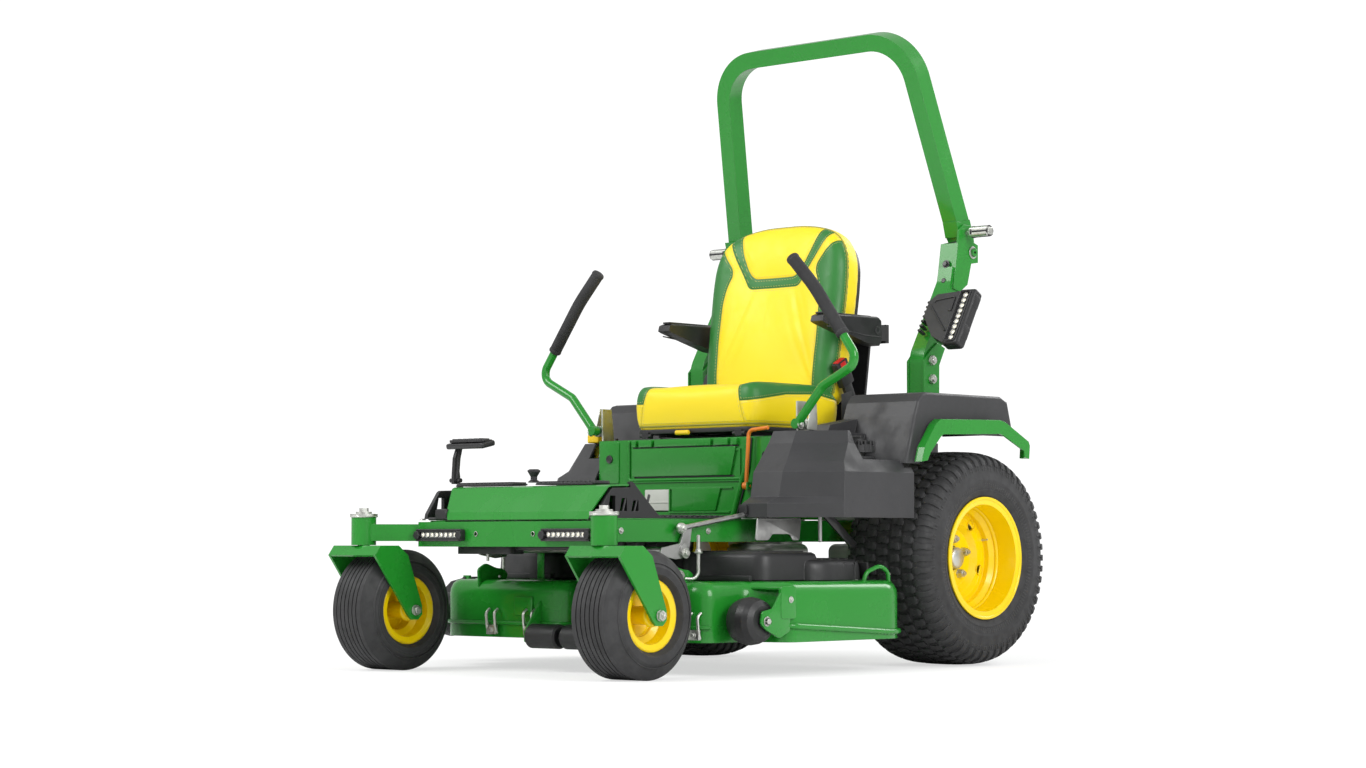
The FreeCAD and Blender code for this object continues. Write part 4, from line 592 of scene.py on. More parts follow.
# --- seat ---

BACK_PLACE = Matrix.Translation((0, -0.154, 0.735)) @ Matrix.Rotation(math.radians(-8.5), 4, "X")
BACK_INVERSE = BACK_PLACE.inverted()
BACK_CENTRE = (0, 0.27)
BACK_HALF = [(0.0, 0.228), (0.03, 0.243), (0.12, 0.25), (0.25, 0.255), (0.36, 0.257), (0.43, 0.252),
             (0.475, 0.236), (0.505, 0.212), (0.528, 0.175), (0.542, 0.12), (0.549, 0.06)]
BACK_OUTLINE = softened(both_halves([(half, w) for w, half in BACK_HALF]), 0.03, 4)
# Depths of the piping, the end of the seamed front, and where the held back begins.
BACK_RIM, BACK_FRONT, BACK_HELD = -0.066, -0.062, -0.03
COLLAR = softened([(-0.095, 0.352), (0.095, 0.352), (0.12, 0.394), (0.158, 0.45), (0.19, 0.505),
                   (0.21, 0.56), (0.165, 0.56), (0.15, 0.515), (0.13, 0.46), (0.102, 0.407),
                   (0.078, 0.382), (-0.078, 0.382)], 0.016)
BOLSTER = softened([(0.275, -0.03), (0.275, 0.43), (0.243, 0.47), (0.232, 0.497), (0.212, 0.48),
                    (0.162, 0.415), (0.16, 0.395), (0.176, 0.36), (0.186, 0.31), (0.188, 0.19),
                    (0.18, -0.03)], 0.02)

CUSHION_CENTRE = (0, -0.37)
CUSHION_PLAN = softened([(-0.238, -0.566), (0.238, -0.566), (0.246, -0.40), (0.246, -0.17), (-0.246, -0.17),
                         (-0.246, -0.40)], 0.05, 7)
CUSHION_FOOT = 0.684
CUSHION_RIM = 0.682
SIDE_SEAM = [(-0.6, 0.742), (-0.57, 0.745), (-0.548, 0.749), (-0.426, 0.767), (-0.293, 0.772),
             (-0.178, 0.753), (-0.12, 0.745)]
TOP_SEAM = [(0.67, 0.2), (0.736, 0.186), (0.797, 0.171), (0.83, 0.168)]
# The cover is held at a seam and let go over the next few millimetres; it may swell by the limit.
SEAM_HELD, SEAM_FADE = 0.003, 0.006
SWELL_LIMIT = 0.02
CLOTH_FRAMES = 20


def edge_distance(outline, u, v):
    """Signed distance to a closed outline, above zero inside it."""
    best, inside = math.inf, False
    for (u0, v0), (u1, v1) in zip(outline, outline[1:] + outline[:1]):
        du, dv = u1 - u0, v1 - v0
        share = max(0.0, min(1.0, ((u - u0) * du + (v - v0) * dv) / (du * du + dv * dv)))
        best = min(best, math.hypot(u - u0 - du * share, v - v0 - dv * share))
        if (v0 > v) != (v1 > v) and u < u0 + (v - v0) * du / dv:
            inside = not inside
    return best if inside else -best


def between(points, value):
    """Linear reading of (where, amount) pairs."""
    return float(np.interp(value, *zip(*points)))


def hill(value, top, width):
    """A smooth bump of height one."""
    return math.exp(-((value - top) / width) ** 2)


def back_panel(point):
    """Green share and nearest seam of the backrest at a point."""
    x, depth, w = BACK_INVERSE @ Vector(point)
    green = max(edge_distance(COLLAR, abs(x), w), edge_distance(BOLSTER, abs(x), w))
    rim = abs(depth - BACK_RIM)
    if depth < BACK_FRONT:
        return green, min(abs(green), rim)
    return min(-0.002, -abs(green)), min(rim, 0.03)


def cushion_panel(point):
    """Green share and nearest seam of the seat cushion at a point."""
    x, y, z = point
    level = between(SIDE_SEAM, y)
    inner = between(TOP_SEAM, z)
    green = min(abs(x) - inner, z - level)
    seam = min(abs(green), abs(z - CUSHION_FOOT))
    if z < level and y < -0.5:
        seam = min(seam, abs(abs(x) - inner))
    if z < level and abs(x) > inner:
        seam = min(seam, level - z)
    return green, seam


def scaled(outline, centre, share):
    return [(centre[0] + (u - centre[0]) * share, centre[1] + (v - centre[1]) * share) for u, v in outline]


def pillow(name, outline, levels, centre, place):
    """A closed crowned form: rings of the outline, drawn in and raised level by level."""
    points = [place(u, v, height) for share, height in levels for u, v in scaled(outline, centre, share)]
    return new_object(name, points, stack_faces(len(levels), len(outline)))


def add_modifier(obj, kind, **settings):
    made = obj.modifiers.new(kind.lower(), kind)
    for key, value in settings.items():
        setattr(made, key, value)
    return made


def apply_modifiers(obj):
    """Bakes every modifier of an object into its mesh."""
    bpy.context.view_layer.update()
    graph = bpy.context.evaluated_depsgraph_get()
    mesh = bpy.data.meshes.new_from_object(obj.evaluated_get(graph))
    obj.modifiers.clear()
    obj.data = mesh


def coordinates(obj):
    return np.array([vertex.co for vertex in obj.data.vertices])


def hold_seams(obj, panels, fixed):
    """Marks what the simulation holds: the fixed side, and the cover close to a seam."""
    held = obj.vertex_groups.new(name="held")
    for index, point in enumerate(coordinates(obj)):
        seam = panels(point)[1]
        weight = 1.0 if fixed(point) else 1.0 - max(seam - SEAM_HELD, 0) / SEAM_FADE
        if weight > 0:
            held.add([index], weight, "REPLACE")


def swell(obj):
    """Blows the cover up by a short cloth simulation, then caps how far any point has moved."""
    start = coordinates(obj)
    cloth = add_modifier(obj, "CLOTH")
    values = {"quality": 5, "mass": 0.3, "use_pressure": True, "uniform_pressure_force": 4.0,
              "tension_stiffness": 15, "compression_stiffness": 12, "bending_stiffness": 0.6,
              "vertex_group_mass": "held"}
    for key, value in values.items():
        setattr(cloth.settings, key, value)
    cloth.settings.effector_weights.gravity = 0
    cloth.point_cache.frame_start = 1
    cloth.point_cache.frame_end = CLOTH_FRAMES
    for step in range(1, CLOTH_FRAMES + 1):
        bpy.context.scene.frame_set(step)
    apply_modifiers(obj)
    shift = coordinates(obj) - start
    length = np.linalg.norm(shift, axis=1, keepdims=True)
    shift *= np.minimum(1.0, SWELL_LIMIT / np.maximum(length, 1e-9))
    obj.data.vertices.foreach_set("co", (start + shift).astype(np.float32).ravel())
    bpy.context.scene.frame_set(1)


def paint_panels(mesh, panels):
    """Stores the panel and seam numbers on the points, and gives each face its vinyl."""
    values = [panels(vertex.co) for vertex in mesh.vertices]
    for column, name in enumerate(("panel", "seam")):
        attribute = mesh.attributes.new(name, "FLOAT", "POINT")
        attribute.data.foreach_set("value", [value[column] for value in values])
    mesh.materials.clear()
    for slot in ("yellow_vinyl", "green_vinyl"):
        mesh.materials.append(MATERIALS[slot])
    for face in mesh.polygons:
        face.material_index = int(sum(values[i][0] for i in face.vertices) > 0)
    mesh.shade_smooth()


def upholster(obj, panels, fixed, replaced):
    """Evens out a pad's mesh, swells its cover between the seams, and paints it."""
    add_modifier(obj, "REMESH", mode="VOXEL", voxel_size=0.006)
    add_modifier(obj, "SMOOTH", iterations=4)
    apply_modifiers(obj)
    hold_seams(obj, panels, fixed)
    swell(obj)
    add_modifier(obj, "SUBSURF", levels=1, render_levels=1)
    apply_modifiers(obj)
    paint_panels(obj.data, panels)
    return settle(obj, "seat", "yellow_vinyl", replaced)


def back_shape(x, w, depth):
    """Backrest form: bolsters stand forward of a shallow dish, and the top rolls back."""
    rise = 0.012 * hill(abs(x), 0.212, 0.045) * min(1, w / 0.1) - 0.006 * hill(x, 0, 0.12)
    lean = 0.012 * max(0.0, (w - 0.42) / 0.13) ** 2
    share = max(0.0, (depth - 0.05) / 0.05)
    return BACK_PLACE @ Vector((x, -(depth + (rise - lean) * share), w))


def build_backrest():
    levels = [(0.9, 0.006), (0.965, 0.01), (0.985, 0.022), (0.99, 0.045), (0.985, 0.064), (0.965, 0.08),
              (0.92, 0.091), (0.85, 0.096), (0.72, 0.099), (0.5, 0.1), (0.25, 0.1), (0.08, 0.1)]
    pad = pillow("backrest_pad", BACK_OUTLINE, levels, BACK_CENTRE, back_shape)
    return upholster(pad, back_panel, lambda p: (BACK_INVERSE @ Vector(p)).y > BACK_HELD, "backrest")


def cushion_shape(x, y, height):
    """Cushion form: side bolsters stand above a shallow dish, and the front edge rolls down."""
    rise = 0.012 * hill(abs(x), 0.218, 0.04) - 0.012 * hill(x, 0, 0.13) * hill(y, -0.33, 0.12)
    fall = 0.026 * max(0.0, (y + 0.26) / 0.1) ** 1.5
    share = max(0.0, (height - 0.73) / 0.06)
    return Vector((x, y, height + (rise - fall) * share))


def build_cushion():
    levels = [(0.86, 0.669), (0.925, 0.671), (0.955, 0.682), (0.975, 0.705), (0.985, 0.735), (0.98, 0.757),
              (0.96, 0.775), (0.92, 0.787), (0.84, 0.792), (0.7, 0.793), (0.45, 0.792), (0.2, 0.791)]
    pad = pillow("cushion_pad", CUSHION_PLAN, levels, CUSHION_CENTRE, cushion_shape)
    return upholster(pad, cushion_panel, lambda p: p[2] < CUSHION_FOOT, "seat_cushion")


def piping(pad, outline, centre, place, radius):
    """A corded edge: the outline is thrown out, and each of its points is pressed back onto the pad."""
    tree = BVHTree.FromPolygons([v.co for v in pad.data.vertices], [p.vertices for p in pad.data.polygons])
    middle = place(*centre)
    spots = []
    for u, v in scaled(outline, centre, 1.6):
        far = place(u, v)
        spot, normal, _, _ = tree.ray_cast(far, (middle - far).normalized())
        if spot:
            spots.append(spot - normal * radius * 0.25)
    return Shape().tube(spots, radius, 8)


def build_seat():
    back = build_backrest()
    cushion = build_cushion()
    line = (BACK_OUTLINE + BACK_OUTLINE[:1])[3:-3]
    rim = piping(back, line, BACK_CENTRE, lambda u, v: BACK_PLACE @ Vector((u, BACK_RIM, v)), 0.0026)
    rim.piece("backrest_piping", "seat", "green_vinyl", angle=60)
    line = CUSHION_PLAN + CUSHION_PLAN[:1]
    rim = piping(cushion, line, CUSHION_CENTRE, lambda u, v: Vector((u, v, CUSHION_RIM)), 0.0028)
    rim.piece("cushion_piping", "seat", "yellow_vinyl", angle=60)
    shell = Shape().prism(scaled(BACK_OUTLINE, BACK_CENTRE, 0.93), "xz", -0.016, 0.012, 0.006, BACK_PLACE)
    for level in (0.12, 0.22, 0.32, 0.42):
        shell.block((-0.15, 0.01, level - 0.006), (0.15, 0.016, level + 0.006), 0.003, BACK_PLACE)
    shell.piece("backrest_shell", "seat", "black_plastic")
    tray = Shape().prism(scaled(CUSHION_PLAN, CUSHION_CENTRE, 0.955), "xy", 0.6605, 0.674, 0.004)
    tray.piece("cushion_tray", "seat", "black_plastic")


build_seat()


# --- mower deck ---

DECK_HALF = [(0.0, -1.06), (0.455, -1.06), (0.494, -1.035), (0.502, -0.89), (0.59, -0.872), (0.62, -0.85),
             (0.62, -0.405), (0.56, -0.336), (0.0, -0.336)]
DECK_LINE = both_halves([(u, v) for u, v in softened(DECK_HALF, 0.055, 6) if u > 0.001])
# The shell's section, from inside the top to outside it: growth of the outline, height.
DECK_SECTION = [(-0.03, 0.236), (-0.008, 0.226), (-0.005, 0.205), (-0.005, 0.09), (0, 0.088), (0, 0.205),
                (-0.002, 0.22), (-0.008, 0.233), (-0.017, 0.242), (-0.03, 0.246)]
DECK_TOP = 0.2465
BEAD_HEIGHT = [(-1.06, 0.128), (-0.86, 0.132), (-0.8, 0.128), (-0.7, 0.106), (-0.336, 0.108)]
SCALP_Y, SCALP_Z = -0.957, 0.145


def cut_block(obj, low, high):
    """Cuts a rectangular opening through a piece."""
    tool = Shape().block(low, high, 0)
    cutter = new_object("opening", tool.points, tool.faces)
    add_modifier(obj, "BOOLEAN", operation="DIFFERENCE", object=cutter)
    apply_modifiers(obj)
    bpy.data.objects.remove(cutter)


def deck_beads():
    """The rolled bead round the sides and front, open at the chute."""
    line = offset(DECK_LINE, 0.003)
    bead = [(u, v, between(BEAD_HEIGHT, v)) for u, v in line if v > -0.89 and u > 0.3]
    shape = Shape().tube(bead, 0.0078)
    for part in ([p for p in bead if p[1] < -0.84], [p for p in bead if p[1] > -0.465]):
        shape.tube([(-x, y, z) for x, y, z in part], 0.0078)
    return shape.tube(sorted((u, v, 0.128) for u, v in line if v < -1.03), 0.006, 8)


def deck_ears():
    """The left side's lugs, clevis plates and loop."""
    ear = [(-1.052, 0.182), (-1.02, 0.205), (-0.985, 0.238), (-0.95, 0.246), (-0.944, 0.262), (-0.962, 0.276),
           (-0.99, 0.278), (-1.03, 0.292), (-1.06, 0.276)]
    lug = [(-0.405, 0.244), (-0.355, 0.244), (-0.362, 0.286), (-0.398, 0.286)]
    clevis = [(-0.905, 0.1), (-0.862, 0.118), (-0.862, 0.23), (-0.89, 0.23), (-0.93, 0.178), (-0.973, 0.171),
              (-0.979, 0.139), (-0.957, 0.123)]
    loop = [(0.575, -0.5, 0.24), (0.578, -0.492, 0.268), (0.585, -0.44, 0.287), (0.585, -0.405, 0.27),
            (0.583, -0.4, 0.24)]
    shape = Shape().plate(ear, 0.01, "yz", 0.349, 0.355, 0.0012)
    shape.prism(lug, "yz", 0.349, 0.355, 0.001)
    for x in (0.507, 0.617):
        shape.plate(clevis, 0.008, "yz", x - 0.003, x + 0.003, 0.001)
    shape.block((0.504, -0.892, 0.226), (0.62, -0.862, 0.232), 0.002)
    shape.plate(rectangle(-0.9, 0.15, -0.84, 0.236), 0.01, "yz", 0.612, 0.622, 0.002)
    shape.tube(loop, 0.006, 10, 0.03)
    return shape.plate([(0.13, -1.068), (0.2, -1.068), (0.18, -1.045), (0.13, -1.045)], 0.004, "xy",
                       0.15, 0.2, 0.001)


def build_deck():
    skin = Shape().stacked([(offset(DECK_LINE, grow), height) for grow, height in DECK_SECTION])
    shell = skin.piece("deck_skin", "deck", "green_paint", "deck_shell", angle=50)
    cut_block(shell, (-0.66, -0.838, 0.108), (-0.595, -0.47, 0.222))
    fittings = deck_beads().join(deck_ears().mirror())
    housing = [(0.206, 0.042), (0.24, 0.066), (0.252, 0.066), (0.256, 0.062), (0.258, 0.046), (0.284, 0.04),
               (0.288, 0.034)]
    for x, y in ((0.405, -0.69), (-0.405, -0.69), (0, -0.76)):
        fittings.turned(housing, (x, y, 0))
    cheek = [(-1.121, 0.078), (-1.121, 0.11), (-1.063, 0.19), (-1.057, 0.19), (-1.057, 0.102),
             (-1.089, 0.078)]
    for x in (-0.106, 0.16):
        fittings.plate(cheek, 0.008, "yz", x, x + 0.006, 0.001)
    for y in (-0.846, -0.472):
        fittings.block((-0.636, y, 0.222), (-0.612, y + 0.01, 0.254), 0.001)
    fittings.piece("deck_fittings", "deck", "green_paint", angle=40)
    bracket = Shape().prism(rectangle(-0.185, 0.246, -0.16, 0.32), "xz", -0.992, -0.988, 0.0006)
    bracket.block((-0.205, -1, 0.244), (-0.14, -0.97, 0.249), 0.001)
    bracket.piece("deck_front_bracket", "deck", "green_paint")


def build_latches():
    """Plated clips, hanging bolts and screws round the deck."""
    clips = Shape().tube([(0.3695, -0.942, 0.368), (0.3695, -0.942, 0.266), (0.366, -0.956, 0.252),
                          (0.348, -0.98, 0.254)], 0.0048, 10, 0.012)
    clips.bolt((0.3695, -0.942, 0.322), "z", 0.0085)
    clips.bolt((0.503, SCALP_Y, SCALP_Z), "inside", 0.008)
    for place, radius in (((0.6205, SCALP_Y, SCALP_Z), 0.009), ((0.622, -0.862, 0.2), 0.006),
                          ((0.356, -1, 0.262), 0.01), ((0.578, -0.398, 0.262), 0.006)):
        clips.bolt(place, "x", radius)
    for x, y in ((0.46, -0.39), (0.3, -0.38)):
        clips.bolt((x, y, DECK_TOP), "z", 0.008)
    clips.mirror()
    for x, y in ((0.25, -1), (-0.02, -0.97)):
        clips.bolt((x, y, DECK_TOP), "z", 0.008)
    clips.bolt((-0.1095, -1.105, 0.096), "inside", 0.007)
    clips.bolt((0.169, -1.105, 0.096), "x", 0.007)
    for x, y in ((-0.278, -1.066), (-0.133, -1.066), (0.47, -1.06), (0.35, -1.066)):
        for u in (x - 0.016, x + 0.016):
            clips.tube([(u, y - 0.002, 0.166), (u, y - 0.016, 0.156), (u, y - 0.012, 0.118),
                        (u, y - 0.006, 0.1)], 0.0042, 8, 0.008)
        clips.block((x - 0.018, y - 0.014, 0.096), (x + 0.018, y - 0.004, 0.122), 0.002)
        clips.bolt((x, y - 0.014, 0.109), "front", 0.006)
    clips.piece("deck_clips", "deck", "zinc")


def build_covers():
    """Moulded belt covers with a raised tunnel, a lower tail, and ribs."""
    main = softened([(0.234, -0.868), (0.3, -0.892), (0.505, -0.838), (0.535, -0.64), (0.5, -0.61),
                     (0.234, -0.6)], 0.035)
    tail = softened([(0.3, -0.66), (0.535, -0.7), (0.566, -0.64), (0.552, -0.48), (0.52, -0.457),
                     (0.31, -0.457)], 0.035)
    cover = Shape()
    for outline, low, top in ((main, 0.249, 0.323), (tail, 0.248, 0.303)):
        section = [(0, low), (-0.002, low + 0.03), (-0.004, top - 0.014), (-0.008, top - 0.005),
                   (-0.018, top)]
        cover.stacked([(offset(outline, grow), height) for grow, height in section])
    cover.prism(offset(main, -0.04), "xy", 0.318, 0.327, 0.003)
    for i in range(4):
        y = -0.6 + 0.035 * i
        cover.block((0.36, y, 0.298), (0.51, y + 0.008, 0.307), 0.002)
    for i in range(3):
        y = -0.56 + 0.05 * i
        cover.block((0.545 - 0.012 * i, y, 0.25), (0.556, y + 0.008, 0.295), 0.002)
    cover.block((0.24, -0.885, 0.247), (0.5, -0.875, 0.262), 0.003)
    cover.mirror().piece("spindle_covers", "deck", "black_plastic", "belt_covers", angle=45)
    dome = [(0.07, 0.318), (0.072, 0.322), (0.06, 0.326), (0.03, 0.328)]
    cap = Shape().stacked([(circle((0, -0.76), radius), height) for radius, height in dome])
    cap.piece("centre_pulley_cap", "centre_cutter", "black_plastic")


build_deck()
build_latches()
build_covers()


# --- lights ---

LAMP_PLACE = Matrix.Translation((0.425, -0.045, 1.0)) @ Matrix.Rotation(math.radians(-30), 4, "X")


def lamp_path(points):
    return [LAMP_PLACE @ Vector(point) for point in points]


def build_lights():
    """Two front bars of eight diodes, and the post lamp with its column of nine, ribs and rims."""
    shell, diodes, bowls = Shape(), Shape(), Shape()
    for x in (0.157, 0.322):
        shell.turned([(0, 0.0125), (0.006, 0.0125), (0.008, 0.0105)], (x, -1.3145, 0.369), "front", 6)
    for z in (0.3545, 0.3835):
        shell.tube([(0.152, -1.3145, z), (0.327, -1.3145, z)], 0.0022, 8)
    bowls.plate(rectangle(0.167, 0.3625, 0.312, 0.3765), 0.002, "xz", -1.3108, -1.3085, 0)
    for i in range(8):
        spot = (0.177 + 0.0179 * i, -1.3106, 0.3702)
        bowls.lathe([(0, 0.0062), (0.0026, 0.007), (0.0026, 0.006), (0, 0.0052)], spot, "front", 16)
        diodes.lathe([(0, 0), (0, 0.005), (0.0016, 0.004), (0.0022, 0)], spot, "front", 12)
    for shape in (shell, diodes, bowls):
        shape.mirror()
    out = LAMP_PLACE.to_3x3() @ AXES["front"]
    for spot in lamp_path([(0.1365, 0.0045, 0.067 - 0.018 * i) for i in range(9)]):
        bowls.lathe([(0, 0.0072), (0.003, 0.0084), (0.003, 0.0074), (0, 0.0062)], spot, out, 16)
        diodes.lathe([(0, 0), (0, 0.006), (0.0018, 0.0048), (0.0026, 0)], spot, out, 12)
    edge = softened(rectangle(0.117, -0.09, 0.153, 0.08), 0.008)
    shell.tube(lamp_path([(u, -0.0015, v) for u, v in edge + edge[:1]]), 0.0026, 8)
    facet = softened([(0.024, 0.054), (0.1, 0.066), (0.1, 0.014)], 0.01)
    shell.tube(lamp_path([(u, 0.004, v) for u, v in facet]), 0.0026, 8)
    shell.tube(lamp_path([(0.02, 0.004, 0.04), (0.104, 0.004, -0.052)]), 0.003, 8)
    for i in range(7):
        z = 0.052 - 0.016 * i
        shell.block((0, 0.008, z), (0.012, 0.034, z + 0.006), 0.001, LAMP_PLACE)
    for z in (-0.052, 0.052):
        shell.block((0.15, 0.006, z - 0.02), (0.1705, 0.034, z + 0.02), 0.004, LAMP_PLACE)
    shell.piece("light_housings", "chassis", "black_plastic")
    bowls.piece("light_reflectors", "chassis", "steel", angle=60)
    diodes.piece("light_diodes", "chassis", "lamp_glass", angle=60)


# --- panel and platform ---

PANEL_Y = -0.5815


def panel_line(points):
    return [(x, PANEL_Y, z) for x, z in points]


def build_pressings():
    """The front panel's raised fields, top tabs and folded ribs."""
    plate = Shape()
    plate.plate(rectangle(0.262, 0.52, 0.338, 0.64), 0.006, "xz", -0.583, -0.579, 0.0012).mirror()
    plate.plate([(-0.206, 0.538), (0.17, 0.538), (0.19, 0.618), (-0.206, 0.618)], 0.004, "xz",
                -0.5865, -0.578, 0.0018)
    plate.plate([(-0.052, 0.438), (0.112, 0.438), (0.132, 0.503), (-0.052, 0.503)], 0.004, "xz",
                -0.585, -0.578, 0.0015)
    for x0, x1 in ((-0.206, -0.19), (-0.178, -0.128), (-0.116, 0.098), (0.11, 0.162), (0.174, 0.196)):
        plate.block((x0, -0.59, 0.622), (x1, -0.574, 0.6415), 0.002)
    plate.tube(panel_line([(0.232, 0.64), (0.224, 0.56), (0.178, 0.425)]), 0.0085, 10, 0.02)
    plate.tube(panel_line([(-0.222, 0.64), (-0.222, 0.528), (0.205, 0.528)]), 0.005, 10, 0.01)
    plate.piece("panel_pressings", "chassis", "green_paint")


def build_panel():
    build_pressings()
    dark = Shape().lathe([(0, 0), (0, 0.0115), (0.002, 0.0125), (0.0045, 0.0115), (0.003, 0.0085),
                          (0.003, 0)], (0.298, -0.5825, 0.59), "front", 20).mirror()
    # Painted shadow: these thin black strips under the raised fields and the tube, and the black line beside
    # the folded rib, stand for the shade in the panel's recesses.
    dark.block((-0.205, PANEL_Y, 0.5195), (0.205, -0.5795, 0.5225), 0)
    dark.block((-0.205, PANEL_Y, 0.533), (0.18, -0.5795, 0.5375), 0)
    dark.block((-0.206, -0.5825, 0.6185), (0.196, -0.5795, 0.622), 0)
    dark.tube([(0.246, -0.583, 0.64), (0.238, -0.583, 0.556), (0.192, -0.583, 0.425)], 0.0022, 8, 0.02)
    # One piece: the dark round insets in the side fields, and the painted shadow lines.
    dark.piece("panel_dark_insets_and_painted_shadows", "chassis", "black_plastic")
    window = Shape().plate(rectangle(-0.16, 0.44, -0.064, 0.5), 0.004, "xz", PANEL_Y, -0.576, 0.0008)
    window.tube([(-0.158, -0.5822, 0.463), (-0.066, -0.5822, 0.463)], 0.0012, 6)
    window.piece("fuel_window", "chassis", "tank_plastic")


def build_platform():
    """Ribbed mats, toe bars and screws of the foot platform."""
    pad = Shape().plate(rectangle(0.045, -1.232, 0.262, -1.164), 0.01, "xy", 0.503, 0.5075)
    for i in range(13):
        x = 0.056 + 0.0165 * i
        pad.block((x - 0.005, -1.228, 0.506), (x + 0.005, -1.168, 0.5115), 0.0012)
    for i in range(12):
        y = -1.02 + 0.024 * i
        pad.block((0.03, y, 0.418), (0.31, y + 0.012, 0.4225))
    x = 0.3255
    pad.tube([(x, -1.277, 0.42), (x, -1.236, 0.484), (x, -1.16, 0.49), (x, -1.052, 0.418)], 0.0046, 10, 0.02)
    for y in (-1.191, -1.147, -1.103):
        pad.tube([(x, y, 0.424), (x, y + 0.016, 0.474)], 0.0035, 8)
    pad.mirror()
    pad.tube([(-0.3, -1.292, 0.4135), (0.318, -1.292, 0.4135)], 0.0042, 8)
    pad.block((-0.27, -1.3, 0.411), (-0.228, -1.268, 0.44), 0.006)
    pad.piece("foot_pads", "chassis", "black_plastic")
    dome = [(0, 0.009), (0.003, 0.008), (0.0045, 0.004)]
    screws = Shape()
    for x, y in ((0.296, -1.13), (0.296, -0.8), (0.35, -1.27)):
        screws.turned(dome, (x, y, 0.41), "z", 20)
    screws.turned([(0, 0.037), (0.003, 0.0385), (0.006, 0.037)], (0.454, -1.392, 0.4175), "z", 36)
    screws.bolt((0.454, -1.392, 0.4235), "z", 0.0085, 0.009)
    screws.mirror().turned(dome, (0.296, -0.72, 0.41), "z", 20)
    screws.piece("platform_screws", "chassis", "zinc")


def build_pedal():
    tread = Shape().plate(rectangle(-0.31, -1.2145, -0.176, -1.1695), 0.012, "xy", 0.6225, 0.63, 0.002)
    for i in range(6):
        x = -0.3 + 0.021 * i
        tread.block((x, -1.208, 0.628), (x + 0.009, -1.176, 0.633), 0.001)
    tread.tube([(-0.289, -1.204, 0.52), (-0.289, -1.198, 0.58), (-0.289, -1.19, 0.612)], 0.0085)
    tread.piece("pedal_tread", "pedal", "black_plastic")
    ring = Shape()
    for spot in circle((0.01, -1.2), 0.0155, 12):
        ring.tube([(*spot, 0.538), (*spot, 0.542)], 0.0022, 6)
    ring.piece("height_knob_grip", "height_dial", "black_plastic")


# --- roll bar ---


def build_roll_bar():
    bright = Shape()
    for z in (0.818, 0.872):
        bright.bolt((0.457, -0.035, z), "x", 0.0095).bolt((0.393, -0.035, z), "inside", 0.0095)
    bright.mirror().piece("roll_bar_bolts", "chassis", "zinc")
    dark = Shape()
    for y, z in ((0.0805, 1.16), (0.074, 1.11)):
        dark.bolt((0.425, y, z), (0, -0.986, 0.17), 0.0085)
    dark.turned([(0, 0.006), (0.0012, 0.006)], (0.425, -0.0695, 0.77), "front", 16)
    dark.mirror().piece("roll_bar_studs", "chassis", "black_paint")
    grip = Shape().prism(circle((0.14, 1.255), 0.0172, 8), "yz", 0.479, 0.5405, 0.0025)
    grip.tube([(0.4785, 0.14, 1.255), (0.484, 0.14, 1.255)], 0.018, 16)
    grip.pair("pin_grip", "pin", "black_plastic")
    hinge = (0.4567, 0.166, 1.198)
    hoop = Shape().turned([(0, 0.0175), (0.002, 0.0185), (0.0035, 0.0175)], hinge, "x", 28)
    hoop.turned([(0.0003, 0.01), (0.0073, 0.009), (0.0093, 0.004)], hinge, "x", 20)
    hoop.mirror().piece("hinge_washers", "hoop", "zinc")


# --- levers, seat fittings ---


def build_levers():
    """Foam grips with moulded ends, pivot bolts and the plates beside the levers."""
    y = -0.555
    grip = Shape().tube([(0.551, y, 0.916), (0.45, y, 1.054), (0.374, y, 1.134)], 0.018, 20, 0.03)
    end = [(-0.005, 0), (-0.005, 0.0178), (0, 0.0192), (0.005, 0.0178), (0.0075, 0.012), (0.0085, 0)]
    for spot, ahead in (((0.549, y, 0.9187), (0.59, 0, -0.807)), ((0.3745, y, 1.1335), (-0.69, 0, 0.724))):
        grip.lathe(end, spot, ahead, 24)
    grip.pair("foam_grip", "lever", "foam", "lever_grip", angle=60)
    Shape().bolt((0.3995, -0.5555, 0.672), "x", 0.0085).pair("lever_bolt", "lever", "zinc")
    guard = [(-0.535, 0.66), (-0.488, 0.66), (-0.492, 0.735), (-0.512, 0.745)]
    plate = Shape().plate(guard, 0.006, "yz", 0.4042, 0.4062, 0.0006)
    plate.pair("lever_plate", "lever_yoke", "zinc")


def build_armrests():
    x = 0.3155
    arm = Shape().tube([(x, -0.335, 0.962), (x, -0.16, 0.944), (x, -0.095, 0.944)], 0.002, 8, 0.02)
    arm.lathe([(0, 0), (0, 0.0125), (0.0022, 0.0115), (0.0022, 0.0085), (0.0012, 0.0075), (0.0012, 0)],
              (x, -0.105, 0.962), "x", 24)
    arm.block((0.28, -0.345, 0.998), (0.308, -0.125, 1.0035), 0.002)
    arm.pair("arm_seams", "arm", "black_plastic")


